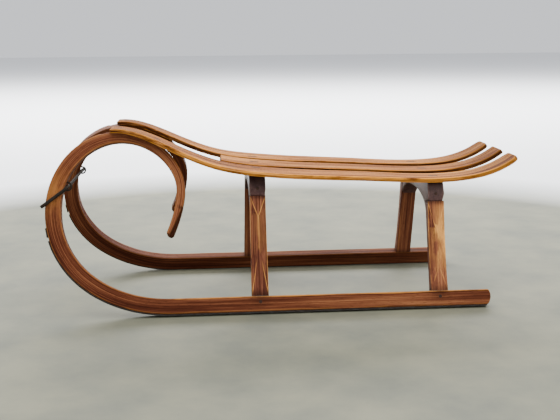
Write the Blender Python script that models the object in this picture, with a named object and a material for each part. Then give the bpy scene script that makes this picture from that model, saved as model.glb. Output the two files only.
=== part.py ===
"""Child's bentwood toboggan.

Two scroll runners stand on four legs, two arched yokes tie the legs together,
and three sprung slats make the seat.  The front of the sled is -X, its left
side is -Y, and the runners' shoes stand on z = 0.  All sizes are in metres.

Each side frame (runner and two legs) is flat and leans inwards.  A point of a
frame is given by x, by t, the height measured along the leaning frame from the
underside of the runner, and by n, the distance out from the frame's middle.
"""

from math import cos, pi, radians, sin, sqrt

import bmesh
import bpy
import numpy as np
from mathutils import Matrix, Vector

GAP = 0.0003
SIDES = {"left": -1, "right": 1}

# Layout
FRONT_LEG_X = -0.0580
LEG_SPACING = 0.400
LEG_X = {"front": FRONT_LEG_X, "rear": FRONT_LEG_X + LEG_SPACING}
HALF_TRACK = 0.200
LEAN = radians(16.5)

# Runners: bend radius of the outer rim and depth of the section, each at headings in degrees
RUNNER_THICKNESS = 0.025
RUNNER_REAR_X = LEG_X["rear"] + 0.114
BEND_START_X = FRONT_LEG_X - 0.192
BEND_HEADINGS = (0, 45, 90, 135, 180, 225, 250, 270, 300)
BEND_RADII = (0.368, 0.216, 0.202, 0.170, 0.135, 0.162, 0.116, 0.096, 0.484)
BEND_END = radians(294)
DEPTH_HEADINGS = (0, 90, 180, 225, 270, 294)
DEPTHS = (0.0335, 0.034, 0.0255, 0.0214, 0.0190, 0.0172)
RUNNER_ARRIS = 0.002
BEND_STEP = radians(6)
HEADING_STEP = radians(0.5)

# Rear end of a runner: distance from the end, then the section's lowest and highest t
RUNNER_END_SECTIONS = ((0.0, 0.0110, 0.0250), (0.0025, 0.0045, 0.0315), (0.0070, 0.0, DEPTHS[0]))

# Tip of the scroll: reach beyond the end of the bend, and how far the section has shrunk
# on its outer rim, its inner rim and each face; a facet is cut on the rim's outer side
TIP_SECTIONS = ((0.0040, 0.0006, 0.0020, 0.0010), (0.0080, 0.0036, 0.0062, 0.0040))
TIP_FACET = 0.0062
TIP_FACET_START = radians(282)

# Steel shoes
SHOE_THICKNESS = 0.003
SHOE_WIDTH = 0.021
SHOE_REAR_X = RUNNER_REAR_X - 0.008
SHOE_END = radians(73)
SHOE_WORN_FLAT = 0.005
TAB_START = radians(75.5)
TAB_END = radians(81)
TAB_LIFT = 0.001
TAB_THICKNESS = 0.0024

# Legs
LEG_FOOT_WIDTH = 0.037
LEG_HEAD_WIDTH = {"front": 0.0345, "rear": 0.037}
LEG_TOP = {"front": 0.2545, "rear": 0.2335}
LEG_ARRIS = 0.0012
LEG_RIDGE = 0.003
LEG_CHAMFER_DEPTH = 0.006
LEG_CHAMFER_STATIONS = {
    "front": (0.0, 0.03, 0.48, 0.80, 0.985, 1.0),
    "rear": (0.0, 0.02, 0.26, 0.66, 0.96, 1.0),
}
LEG_CHAMFER_SHARES = (0, 0, 1, 1, 0, 0)
TENON_WIDTH = 0.018
TENON_THICKNESS = 0.011
TENON_FOOT = 0.018
TENON_HEAD = 0.022
MORTISE_MOUTH = 0.010
PEG_RADIUS = 0.0038
PEG_LENGTH = 0.017
PEG_RIM = 0.0004
PEG_END_SHARE = 0.88
PEG_HEIGHT = 0.021
YOKE_PEG_RISE = 0.0165

# Yokes; the chamfers under their feet are given as a reach along x and a rise
YOKE_WIDTH = 0.0355
YOKE_PROUD = 0.0015
YOKE_ARRIS = 0.0015
YOKE_CROWN = 0.031
YOKE_FLARE = {"front": 0.001, "rear": 0.005}
ARCH_OVERRUN = 1.03
ARCH_POWER = 2.4
ARCH_STEPS = 9
KNEE_DROP = 0.022
KNEE_THICKNESS = 0.004
FOOT_FRONT_CHAMFER = (0.003, 0.005)
FOOT_REAR_CHAMFER = {"front": (0.003, 0.014), "rear": (0.006, 0.016)}

# Seat slats: the seat's top line, the slats' widths and their middles' distances from the
# sled's middle are curves through (x from the front leg, value), with end slopes
SLAT_THICKNESS = 0.0102
SLAT_FRONT_THICKNESS = 0.0080
SLAT_SHAVED = 0.110
SLAT_ARRIS = 0.0018
SLAT_FRONT_X = FRONT_LEG_X - 0.321
SLAT_REAR_X = FRONT_LEG_X + 0.583
SLAT_MIDDLE_X = FRONT_LEG_X - 0.078
SEAT_LINE = (
    (-0.321, 0.4014), (-0.280, 0.3989), (-0.240, 0.3865), (-0.160, 0.3502), (-0.080, 0.3212),
    (0.000, 0.3081), (0.100, 0.2997), (0.250, 0.2918), (0.400, 0.2849), (0.470, 0.2888),
    (0.530, 0.3026), (0.583, 0.3314),
)
SEAT_SLOPES = (0.109, 0.744)
SLAT_WIDTHS = (
    (-0.321, 0.060), (-0.240, 0.071), (-0.160, 0.084), (-0.040, 0.0905), (0.100, 0.088),
    (0.250, 0.077), (0.400, 0.071), (0.583, 0.0675),
)
WIDTH_SLOPES = (0.13, -0.01)
SLAT_CENTRES = (
    (-0.321, 0.084), (-0.240, 0.0885), (-0.160, 0.0965), (-0.040, 0.111), (0.060, 0.1155),
    (0.250, 0.1155), (0.583, 0.112),
)
CENTRE_SLOPES = (0.04, -0.01)
SLAT_CORNER = {"front": 0.005, "rear": 0.014}
SLAT_STEP = 0.022
SLAT_END_ANGLES = (0, pi / 6, pi / 3, pi / 2)
LOOP_BED_X = (FRONT_LEG_X - 0.340, FRONT_LEG_X - 0.180)
LOOP_BED_LOWEST = 0.30
LOOP_BED_STEPS = 20

# Ironwork
ROD_RADIUS = 0.0038
ROD_HEADING = radians(112)
ROD_ARM = 0.070
ROD_ARM_DROP = radians(36)
ROD_BEND = 0.009
ROD_BEND_STEPS = 5
ROD_PLAY = 0.0018
ROD_FACE_GAP = 0.0006
STAPLE_RADIUS = 0.0017
STAPLE_HALF_SPAN = 0.0085
STAPLE_REACH = 0.0068
STAPLE_DEPTH = 0.010
STAPLE_ROOT = STAPLE_DEPTH + ROD_RADIUS + ROD_PLAY
STAPLE_STEPS = 8
SCREW_SIDES = 10
SCREW_HEAD = 0.0034
SCREW_SHANK = 0.0016
SCREW_HEAD_DEPTH = 0.0021
SCREW_RIM = 0.0004
SCREW_HOLE_RISE = 0.001
SLAT_SCREW_LENGTH = 0.026
LOOP_SCREW_LENGTH = 0.024
SHOE_SCREW_LENGTH = 0.014
SLAT_SCREW_SPREAD = 0.0048
SLAT_SCREW_Y = {"front": 0.092, "rear": 0.1125}
LOOP_SCREW_X = (FRONT_LEG_X - 0.300, FRONT_LEG_X - 0.2185)
SHOE_SCREW_X = (RUNNER_REAR_X - 0.022, FRONT_LEG_X + 0.270, FRONT_LEG_X + 0.100, FRONT_LEG_X - 0.080)
SHOE_SCREW_HEADINGS = (radians(18), radians(45), radians(68))
TAB_SCREW_HEADING = radians(78)

# The shoes' inner bottom edges are worn level, and the sled stands on those flats
WEAR_DEPTH = SHOE_WORN_FLAT * sin(LEAN) * cos(LEAN)
GROUND_LIFT = (GAP + SHOE_THICKNESS) * cos(LEAN) + 0.5 * SHOE_WIDTH * sin(LEAN) - WEAR_DEPTH

COLOURS = {
    "bent_beech": ((0.235, 0.078, 0.030), 0.42, 0.0),
    "seat_ash": ((0.470, 0.270, 0.140), 0.50, 0.0),
    "stained_yoke": ((0.075, 0.052, 0.042), 0.55, 0.0),
    "dark_peg": ((0.050, 0.022, 0.012), 0.60, 0.0),
    "shoe_steel": ((0.040, 0.034, 0.032), 0.50, 0.9),
    "wrought_iron": ((0.060, 0.056, 0.052), 0.50, 0.9),
    "screw_steel": ((0.110, 0.095, 0.085), 0.45, 0.9),
}


def clear_scene():
    for obj in list(bpy.data.objects):
        bpy.data.objects.remove(obj)


def make_materials():
    materials = {}
    for name, (colour, roughness, metallic) in COLOURS.items():
        material = bpy.data.materials.new(name)
        material.use_nodes = True
        shader = material.node_tree.nodes["Principled BSDF"]
        shader.inputs["Base Color"].default_value = (*colour, 1.0)
        shader.inputs["Roughness"].default_value = roughness
        shader.inputs["Metallic"].default_value = metallic
        materials[name] = material
    return materials


# ---------------------------------------------------------------- mesh helpers

def add_object(name, mesh, material):
    obj = bpy.data.objects.new(name, mesh)
    if material:
        mesh.materials.append(material)
    bpy.context.collection.objects.link(obj)
    return obj


def finish_mesh(bm, name):
    bmesh.ops.recalc_face_normals(bm, faces=bm.faces[:])
    mesh = bpy.data.meshes.new(name)
    bm.to_mesh(mesh)
    bm.free()
    return mesh


def loft(name, rings, material):
    """Skin a list of rings, each with the same number of points, and cap both ends."""
    bm = bmesh.new()
    rows = [[bm.verts.new(point) for point in ring] for ring in rings]
    count = len(rows[0])
    for row, following in zip(rows, rows[1:]):
        for i in range(count):
            j = (i + 1) % count
            bm.faces.new((row[i], row[j], following[j], following[i]))
    bm.faces.new(rows[0])
    bm.faces.new(rows[-1])
    return add_object(name, finish_mesh(bm, name), material)


def turned_rings(profile, sides):
    """Rings round the z axis for a profile of (radius, z) pairs."""
    rings = []
    for radius, z in profile:
        angles = [2 * pi * i / sides for i in range(sides)]
        rings.append([Vector((radius * cos(a), radius * sin(a), z)) for a in angles])
    return rings


def place(rings, origin, axis):
    """Stand rings made round the z axis on a point, with z turned to the given axis."""
    turn = Vector((0, 0, 1)).rotation_difference(Vector(axis)).to_matrix().to_4x4()
    matrix = Matrix.Translation(origin) @ turn
    return [[matrix @ point for point in ring] for ring in rings]


def chamfered_box(u0, u1, v0, v1, c, facet=0.0):
    """Outline of a rectangle with its four corners cut by c, and the (u0, v1) corner by more."""
    return [
        (u0 + c, v0), (u1 - c, v0), (u1, v0 + c), (u1, v1 - c),
        (u1 - c, v1), (u0 + c + facet, v1), (u0, v1 - c - facet), (u0, v0 + c),
    ]


def cut(obj, cutters):
    """Take each cutter away from the object and remove the cutter."""
    for cutter in cutters:
        modifier = obj.modifiers.new("cut", "BOOLEAN")
        modifier.operation = "DIFFERENCE"
        modifier.solver = "EXACT"
        modifier.object = cutter
    depsgraph = bpy.context.evaluated_depsgraph_get()
    mesh = bpy.data.meshes.new_from_object(obj.evaluated_get(depsgraph))
    obj.modifiers.clear()
    obj.data = mesh
    for cutter in cutters:
        bpy.data.objects.remove(cutter)


def round_cutter(radius, origin, axis, length):
    profile = ((radius, -length), (radius, length))
    return loft("cutter", place(turned_rings(profile, SCREW_SIDES), origin, axis), None)


# ------------------------------------------------------------------ side frame

def frame_point(x, t, n, side):
    """World position of a point of the leaning side frame."""
    y = HALF_TRACK - t * sin(LEAN) + n * cos(LEAN)
    z = GROUND_LIFT + t * cos(LEAN) + n * sin(LEAN)
    return Vector((x, side * y, z))


def frame_axis(dx, dt, dn, side):
    """World direction of a step in the side frame."""
    return frame_point(dx, dt, dn, side) - frame_point(0, 0, 0, side)


def bend_point(heading):
    """Outer rim of the runner at a heading: 0 points forward, 90 degrees points up."""
    steps = max(2, int(abs(heading) / HEADING_STEP))
    angles = np.linspace(0, heading, steps + 1)
    radii = np.interp(angles, np.radians(BEND_HEADINGS), BEND_RADII)
    dx = -radii * np.cos(angles)
    dt = radii * np.sin(angles)
    step = np.diff(angles)
    x = BEND_START_X + float(np.sum((dx[1:] + dx[:-1]) / 2 * step))
    t = float(np.sum((dt[1:] + dt[:-1]) / 2 * step))
    return x, t


def rim_point(heading, depth, n, side):
    """A point at a depth inside the outer rim; a negative depth lies outside it."""
    x, t = bend_point(heading)
    return frame_point(x + depth * sin(heading), t + depth * cos(heading), n, side)


def runner_depth(heading):
    return float(np.interp(heading, np.radians(DEPTH_HEADINGS), DEPTHS))


def rim_ring(heading, outline, side):
    return [rim_point(heading, depth, n, side) for depth, n in outline]


def straight_ring(x, outline, side):
    return [frame_point(x, t, n, side) for t, n in outline]


# ------------------------------------------------------------------- seat line

def clamped_spline(points, slopes):
    """Second derivatives of the smooth curve through points with given end slopes."""
    x = np.array([p[0] for p in points])
    z = np.array([p[1] for p in points])
    h = np.diff(x)
    rise = np.diff(z) / h
    size = len(x)
    matrix = np.zeros((size, size))
    target = np.zeros(size)
    matrix[0, :2] = (2 * h[0], h[0])
    target[0] = 6 * (rise[0] - slopes[0])
    for i in range(1, size - 1):
        matrix[i, i - 1:i + 2] = (h[i - 1], 2 * (h[i - 1] + h[i]), h[i])
        target[i] = 6 * (rise[i] - rise[i - 1])
    matrix[-1, -2:] = (h[-1], 2 * h[-1])
    target[-1] = 6 * (slopes[1] - rise[-1])
    return x, z, np.linalg.solve(matrix, target)


SEAT_CURVE = clamped_spline(SEAT_LINE, SEAT_SLOPES)
WIDTH_CURVE = clamped_spline(SLAT_WIDTHS, WIDTH_SLOPES)
CENTRE_CURVE = clamped_spline(SLAT_CENTRES, CENTRE_SLOPES)


def curve_at(curve, x):
    """Value and slope of a seat curve at a world x."""
    knots, heights, bends = curve
    u = x - FRONT_LEG_X
    i = int(np.clip(np.searchsorted(knots, u) - 1, 0, len(knots) - 2))
    h = knots[i + 1] - knots[i]
    a = (knots[i + 1] - u) / h
    b = (u - knots[i]) / h
    z = a * heights[i] + b * heights[i + 1]
    z += ((a ** 3 - a) * bends[i] + (b ** 3 - b) * bends[i + 1]) * h * h / 6
    slope = (heights[i + 1] - heights[i]) / h
    slope += ((3 * b * b - 1) * bends[i + 1] - (3 * a * a - 1) * bends[i]) * h / 6
    return float(z), float(slope)


def seat_line(x):
    """Height and slope of the slats' top."""
    return curve_at(SEAT_CURVE, x)


def slat_thickness(x):
    """The slats are shaved thinner towards the front end, over the scrolls."""
    share = min(1.0, max(0.0, (x - SLAT_FRONT_X) / SLAT_SHAVED))
    return SLAT_FRONT_THICKNESS + (SLAT_THICKNESS - SLAT_FRONT_THICKNESS) * share


def seat_underside(x):
    z, slope = seat_line(x)
    return z - slat_thickness(x) * sqrt(1 + slope * slope)


def slat_width(x):
    return curve_at(WIDTH_CURVE, x)[0]


def slat_centre(x, fan):
    """Distance of a slat's middle from the sled's middle: fan is -1, 0 or 1."""
    return fan * curve_at(CENTRE_CURVE, x)[0]


def slat_point(x, across, depth, fan):
    """A point of a slat, at a depth below its top measured square to its surface."""
    z, slope = seat_line(x)
    length = sqrt(1 + slope * slope)
    return Vector((x + depth * slope / length, slat_centre(x, fan) + across, z - depth / length))


# ---------------------------------------------------------------------- screws

def screw_rings(origin, axis, length, clearance=0.0):
    """Countersunk screw whose flat head lies at origin and whose axis points outwards."""
    head = SCREW_HEAD + clearance
    shank = SCREW_SHANK + clearance
    top = SCREW_HOLE_RISE if clearance else -GAP
    profile = (
        (head, top), (head, -SCREW_RIM),
        (shank, -SCREW_HEAD_DEPTH), (shank, -length - clearance),
    )
    return place(turned_rings(profile, SCREW_SIDES), origin, axis)


def screw_sites():
    """Every screw as name: (pieces it passes through, origin, outward axis, length)."""
    sites = {}
    for fan, slat in ((-1, "left"), (0, "middle"), (1, "right")):
        for end, leg_x in LEG_X.items():
            for number, offset in enumerate((-SLAT_SCREW_SPREAD, SLAT_SCREW_SPREAD), start=1):
                pieces = (f"slat_{slat}", f"yoke_{end}")
                site = slat_screw(leg_x + offset, fan, SLAT_SCREW_Y[end])
                sites[f"screw_{slat}_{end}_{number}"] = (pieces, *site, SLAT_SCREW_LENGTH)
        if fan:
            for number, x in enumerate(LOOP_SCREW_X, start=1):
                pieces = (f"slat_{slat}", f"runner_{slat}")
                site = loop_screw(x, fan)
                sites[f"screw_{slat}_loop_{number}"] = (pieces, *site, LOOP_SCREW_LENGTH)
    for name, side in SIDES.items():
        pieces = (f"shoe_{name}", f"runner_{name}")
        down = frame_axis(0, -1, 0, side)
        for number, x in enumerate(SHOE_SCREW_X, start=1):
            origin = frame_point(x, -GAP - SHOE_THICKNESS, 0, side)
            sites[f"shoe_screw_{name}_{number}"] = (pieces, origin, down, SHOE_SCREW_LENGTH)
        for number, heading in enumerate(SHOE_SCREW_HEADINGS, start=len(SHOE_SCREW_X) + 1):
            origin = rim_point(heading, -GAP - SHOE_THICKNESS, 0, side)
            axis = frame_axis(-sin(heading), -cos(heading), 0, side)
            sites[f"shoe_screw_{name}_{number}"] = (pieces, origin, axis, SHOE_SCREW_LENGTH)
        origin = rim_point(TAB_SCREW_HEADING, -GAP - SHOE_THICKNESS, 0, side)
        axis = frame_axis(-sin(TAB_SCREW_HEADING), -cos(TAB_SCREW_HEADING), 0, side)
        pieces = (f"shoe_tab_{name}", f"runner_{name}")
        sites[f"shoe_tab_screw_{name}"] = (pieces, origin, axis, SHOE_SCREW_LENGTH)
    return sites


def slat_screw(x, fan, y):
    """A screw down through a slat, at a distance from the sled's middle on an outer slat."""
    z, slope = seat_line(x)
    return Vector((x, fan * y, z)), Vector((-slope, 0, 1)).normalized()


def loop_screw(x, fan):
    """A screw through an outer slat into the runner's loop, placed over the runner's middle."""
    z, slope = seat_line(x)
    t = (seat_underside(x) - GROUND_LIFT) / cos(LEAN)
    y = fan * (HALF_TRACK - t * sin(LEAN))
    return Vector((x, y, z)), Vector((-slope, 0, 1)).normalized()


# ---------------------------------------------------------------------- pieces

def runner(name, side, material):
    half = RUNNER_THICKNESS / 2
    rings = []
    for inset, low, high in RUNNER_END_SECTIONS:
        outline = chamfered_box(low, high, -half, half, RUNNER_ARRIS)
        rings.append(straight_ring(RUNNER_REAR_X - inset, outline, side))
    steps = int(round(BEND_END / BEND_STEP))
    for i in range(steps + 1):
        heading = BEND_END * i / steps
        facet = TIP_FACET * max(0.0, (heading - TIP_FACET_START) / (BEND_END - TIP_FACET_START))
        outline = chamfered_box(0.0, runner_depth(heading), -half, half, RUNNER_ARRIS, facet)
        rings.append(rim_ring(heading, outline, side))
    rings += runner_tip(side)
    for ring in rings:
        for point in ring:
            bed_under_slat(point)
    return loft(name, rings, material)


def runner_tip(side):
    """Rounded end of the scroll, a few millimetres beyond the end of the bend."""
    rings = []
    for reach, outer, inner, face in TIP_SECTIONS:
        ahead = frame_axis(-reach * cos(BEND_END), reach * sin(BEND_END), 0, side)
        half = RUNNER_THICKNESS / 2 - face
        facet = TIP_FACET - outer
        outline = chamfered_box(outer, DEPTHS[-1] - inner, -half, half, RUNNER_ARRIS, facet)
        rings.append([point + ahead for point in rim_ring(BEND_END, outline, side)])
    return rings


def bed_under_slat(point):
    """Plane the top of the loop level where an outer slat lies on it."""
    if LOOP_BED_X[0] < point.x < LOOP_BED_X[1] and point.z > LOOP_BED_LOWEST:
        point.z = min(point.z, seat_underside(point.x) - 2 * GAP)


def shoe(name, side, material):
    half = SHOE_WIDTH / 2
    under = -GAP - SHOE_THICKNESS
    outline = [(under, -half), (under, half), (-GAP, half), (-GAP, -half)]
    rings = [straight_ring(SHOE_REAR_X, outline, side)]
    steps = int(round(SHOE_END / BEND_STEP))
    rings += [rim_ring(SHOE_END * i / steps, outline, side) for i in range(steps + 1)]
    obj = loft(name, rings, material)
    cut(obj, [ground_cutter()])
    return obj


def ground_cutter():
    """Everything below z = 0, for a metre each way."""
    outline = [(-1, -1), (1, -1), (1, 1), (-1, 1)]
    return loft("cutter", [[Vector((x, y, z)) for x, y in outline] for z in (-1, 0)], None)


def shoe_tab(name, side, material):
    """Short separate end of the shoe, held by one screw and lifted at its lower end."""
    half = SHOE_WIDTH / 2
    rings = []
    for i, lift in enumerate((TAB_LIFT, TAB_LIFT / 3, 0.0, 0.0)):
        heading = TAB_START + (TAB_END - TAB_START) * i / 3
        inner = -GAP - lift
        outer = inner - TAB_THICKNESS
        outline = [(outer, -half), (outer, half), (inner, half), (inner, -half)]
        rings.append(rim_ring(heading, outline, side))
    return loft(name, rings, material)


def leg_outline(width, low, high, chamfer_width, chamfer_depth):
    """Leg section as (x, n): square inside, chamfered on its two outer corners."""
    half = width / 2
    return [
        (-half, low), (half, low), (half, high - chamfer_depth),
        (half - chamfer_width, high), (-half + chamfer_width, high), (-half, high - chamfer_depth),
    ]


def leg(name, end, side, material):
    """Leg with a tenon at each end and chamfers that meet in a ridge along its middle."""
    half = RUNNER_THICKNESS / 2
    foot = DEPTHS[0] + GAP
    head = LEG_TOP[end]
    tenon = leg_outline(TENON_WIDTH, -TENON_THICKNESS / 2, TENON_THICKNESS / 2, LEG_ARRIS, LEG_ARRIS)
    levels = [(foot - TENON_FOOT, tenon), (foot, tenon)]
    for along, full in zip(LEG_CHAMFER_STATIONS[end], LEG_CHAMFER_SHARES):
        width = LEG_FOOT_WIDTH + (LEG_HEAD_WIDTH[end] - LEG_FOOT_WIDTH) * along
        across = LEG_ARRIS + ((width - LEG_RIDGE) / 2 - LEG_ARRIS) * full
        depth = LEG_ARRIS + (LEG_CHAMFER_DEPTH - LEG_ARRIS) * full
        levels.append((foot + (head - foot) * along, leg_outline(width, -half, half, across, depth)))
    levels += [(head, tenon), (head + TENON_HEAD, tenon)]
    rings = []
    for t, outline in levels:
        rings.append([frame_point(LEG_X[end] + x, t, n, side) for x, n in outline])
    return loft(name, rings, material)


def mortise_cutter(leg_x, t_low, t_high, side):
    half_width = TENON_WIDTH / 2 + GAP
    half = TENON_THICKNESS / 2 + GAP
    outline = [(-half_width, -half), (half_width, -half), (half_width, half), (-half_width, half)]
    rings = []
    for t in (t_low, t_high):
        rings.append([frame_point(leg_x + x, t, n, side) for x, n in outline])
    return loft("cutter", rings, None)


def yoke_half_outline(end, foot_rise):
    """Right half of the yoke's outline as (y, z), from the crown round the foot to the top."""
    top = yoke_top(end)
    crown = top - YOKE_CROWN
    half = RUNNER_THICKNESS / 2
    shoulder = LEG_TOP[end] + GAP + foot_rise
    outer = half + YOKE_PROUD
    knee = frame_point(0, LEG_TOP[end] - KNEE_DROP + foot_rise, -half - GAP, 1)
    toe = frame_point(0, LEG_TOP[end] - KNEE_DROP + foot_rise, -half - GAP - KNEE_THICKNESS, 1)
    span = ARCH_OVERRUN * toe.y
    rise = (crown - toe.z) / (1 - (1 - (toe.y / span) ** ARCH_POWER) ** (1 / ARCH_POWER))
    points = []
    for i in range(ARCH_STEPS):
        y = toe.y * i / ARCH_STEPS
        z = crown - rise * (1 - (1 - (y / span) ** ARCH_POWER) ** (1 / ARCH_POWER))
        points.append((y, z))
    points += [(toe.y, toe.z), (knee.y, knee.z)]
    for n in (-half - GAP, outer - YOKE_ARRIS):
        corner = frame_point(0, shoulder, n, 1)
        points.append((corner.y, corner.z))
    corner = frame_point(0, shoulder + YOKE_ARRIS, outer, 1)
    points.append((corner.y, corner.z))
    t_top = (top - GROUND_LIFT - outer * sin(LEAN)) / cos(LEAN)
    corner = frame_point(0, t_top, outer, 1)
    points.append((corner.y, top))
    return points


def yoke_top(end):
    """The slats touch a yoke along its rear edge at the front leg and its middle at the rear."""
    x = LEG_X[end]
    reach = YOKE_WIDTH / 2 + YOKE_FLARE[end]
    return min(seat_underside(x + offset) for offset in (-reach, 0, reach)) - GAP


def yoke(name, end, material):
    """Arched crosspiece; the rear side of its feet flares out and the feet's ends are chamfered."""
    half = YOKE_WIDTH / 2
    top = yoke_top(end)
    foot = GROUND_LIFT + (LEG_TOP[end] - KNEE_DROP) * cos(LEAN)
    front_cut, front_rise = FOOT_FRONT_CHAMFER
    rear_cut, rear_rise = FOOT_REAR_CHAMFER[end]
    stations = (
        (-half, front_rise, 0), (-half + front_cut, 0, 0),
        (half - rear_cut, 0, 1), (half, rear_rise, 1),
    )
    rings = []
    for offset, foot_rise, flared in stations:
        right = yoke_half_outline(end, foot_rise)
        outline = right + [(-y, z) for y, z in reversed(right[1:])]
        ring = []
        for y, z in outline:
            flare = YOKE_FLARE[end] * flared * (top - z) / (top - foot)
            ring.append(Vector((LEG_X[end] + offset + flare, y, z)))
        rings.append(ring)
    return loft(name, rings, material)


def slat(name, fan, front_x, material):
    length = SLAT_REAR_X - front_x
    steps = int(round(length / SLAT_STEP))
    xs = [front_x + length * i / steps for i in range(1, steps)]
    xs = [x for x in xs if x > LOOP_BED_X[1] or fan == 0]
    if fan:
        bed = LOOP_BED_X[1] - front_x
        xs = [front_x + bed * i / LOOP_BED_STEPS for i in range(1, LOOP_BED_STEPS + 1)] + xs
    corners = dict(SLAT_CORNER)
    if fan == 0:
        corners["rear"] = SLAT_CORNER["front"]
    xs = [x for x in xs if front_x + corners["front"] < x < SLAT_REAR_X - corners["rear"]]
    for end, x_end, inward in (("front", front_x, 1), ("rear", SLAT_REAR_X, -1)):
        xs += [x_end + inward * corners[end] * (1 - cos(angle)) for angle in SLAT_END_ANGLES]
    rings = []
    for x in sorted(xs):
        inset = 0.0
        for end, distance in (("front", x - front_x), ("rear", SLAT_REAR_X - x)):
            radius = corners[end]
            if distance < radius:
                inset = radius - sqrt(radius ** 2 - (radius - distance) ** 2)
        half = slat_width(x) / 2 - inset
        outline = chamfered_box(-half, half, 0.0, slat_thickness(x), SLAT_ARRIS)
        rings.append([slat_point(x, across, depth, fan) for across, depth in outline])
    return loft(name, rings, material)


def peg_site(tenon, end, side):
    """Origin on the outer face and outward axis of the peg through a leg's foot or head tenon."""
    face = RUNNER_THICKNESS / 2
    height = PEG_HEIGHT
    if tenon == "head":
        face += YOKE_PROUD
        height = LEG_TOP[end] + YOKE_PEG_RISE
    return frame_point(LEG_X[end], height, face, side), frame_axis(0, 0, 1, side)


def peg(name, site, material):
    origin, axis = site
    profile = ((PEG_RADIUS, -PEG_LENGTH), (PEG_RADIUS, -PEG_RIM), (PEG_RADIUS * PEG_END_SHARE, 0.0))
    return loft(name, place(turned_rings(profile, SCREW_SIDES), origin, axis), material)


def wire(name, points, radius, material):
    """Round bar along a line of points."""
    curve = bpy.data.curves.new(name, "CURVE")
    curve.dimensions = "3D"
    curve.bevel_depth = radius
    curve.bevel_resolution = 2
    curve.use_fill_caps = True
    spline = curve.splines.new("POLY")
    spline.points.add(len(points) - 1)
    for target, point in zip(spline.points, points):
        target.co = (*point, 1.0)
    return add_object(name, curve, material)


def rounded_corner(corner, before, after, radius, steps):
    """Arc that rounds the corner between two straight runs."""
    into = (corner - before).normalized()
    out = (after - corner).normalized()
    turn = into.angle(out)
    reach = radius * sin(turn / 2) / cos(turn / 2)
    start = corner - into * reach
    side_way = (out - into * into.dot(out)).normalized()
    centre = start + side_way * radius
    arc = []
    for i in range(steps + 1):
        angle = turn * i / steps
        arc.append(centre - side_way * radius * cos(angle) + into * radius * sin(angle))
    return arc


def rod_centre(side):
    """Middle of the rod where it passes a runner's middle, just inside the bend."""
    depth = runner_depth(ROD_HEADING) + ROD_RADIUS / cos(LEAN) + ROD_PLAY
    return rim_point(ROD_HEADING, depth, 0, side)


def cross_rod(name, material):
    """Iron rod across the bend, its ends turned forward over the runners' outer faces."""
    arms = {}
    for side in SIDES.values():
        middle = rod_centre(side)
        n = RUNNER_THICKNESS / 2 + ROD_RADIUS + ROD_FACE_GAP
        t = (middle.z - GROUND_LIFT - n * sin(LEAN)) / cos(LEAN)
        elbow = frame_point(middle.x, t, n, side)
        tip = elbow + frame_axis(-ROD_ARM * cos(ROD_ARM_DROP), -ROD_ARM * sin(ROD_ARM_DROP), 0, side)
        arms[side] = (tip, elbow)
    left_tip, left_elbow = arms[-1]
    right_tip, right_elbow = arms[1]
    points = [left_tip]
    points += rounded_corner(left_elbow, left_tip, right_elbow, ROD_BEND, ROD_BEND_STEPS)
    points += rounded_corner(right_elbow, left_elbow, right_tip, ROD_BEND, ROD_BEND_STEPS)
    points.append(right_tip)
    return wire(name, points, ROD_RADIUS, material)


def staple_legs(side):
    """Middle of a staple, the way out of the runner's inner rim, and the way along the rim."""
    centre = rod_centre(side)
    inward = frame_axis(sin(ROD_HEADING), cos(ROD_HEADING), 0, side)
    along = frame_axis(-cos(ROD_HEADING), sin(ROD_HEADING), 0, side)
    return centre, inward, along


def staple(name, side, material):
    """Round staple over the rod, with both legs driven into the runner."""
    centre, inward, along = staple_legs(side)
    points = [centre + along * STAPLE_HALF_SPAN - inward * STAPLE_ROOT]
    for i in range(STAPLE_STEPS + 1):
        angle = pi * i / STAPLE_STEPS
        over = inward * STAPLE_REACH * sin(angle)
        points.append(centre + along * STAPLE_HALF_SPAN * cos(angle) + over)
    points.append(centre - along * STAPLE_HALF_SPAN - inward * STAPLE_ROOT)
    return wire(name, points, STAPLE_RADIUS, material)


def staple_cutters(side):
    centre, inward, along = staple_legs(side)
    cutters = []
    for sign in (-1, 1):
        origin = centre + along * STAPLE_HALF_SPAN * sign
        cutters.append(round_cutter(STAPLE_RADIUS + 2 * GAP, origin, inward, STAPLE_ROOT + GAP))
    return cutters


# -------------------------------------------------------------------- assembly

def add_ironwork_and_runners(materials, parts, cutters):
    for name, side in SIDES.items():
        runner_name = f"runner_{name}"
        parts[runner_name] = runner(runner_name, side, materials["bent_beech"])
        parts[f"shoe_{name}"] = shoe(f"shoe_{name}", side, materials["shoe_steel"])
        parts[f"shoe_tab_{name}"] = shoe_tab(f"shoe_tab_{name}", side, materials["shoe_steel"])
        staple(f"rod_staple_{name}", side, materials["wrought_iron"])
        cutters[runner_name] = staple_cutters(side)
    cross_rod("cross_rod", materials["wrought_iron"])


def add_slats(materials, parts):
    for name, fan in (("left", -1), ("middle", 0), ("right", 1)):
        front_x = SLAT_FRONT_X if fan else SLAT_MIDDLE_X
        parts[f"slat_{name}"] = slat(f"slat_{name}", fan, front_x, materials["seat_ash"])


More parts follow.
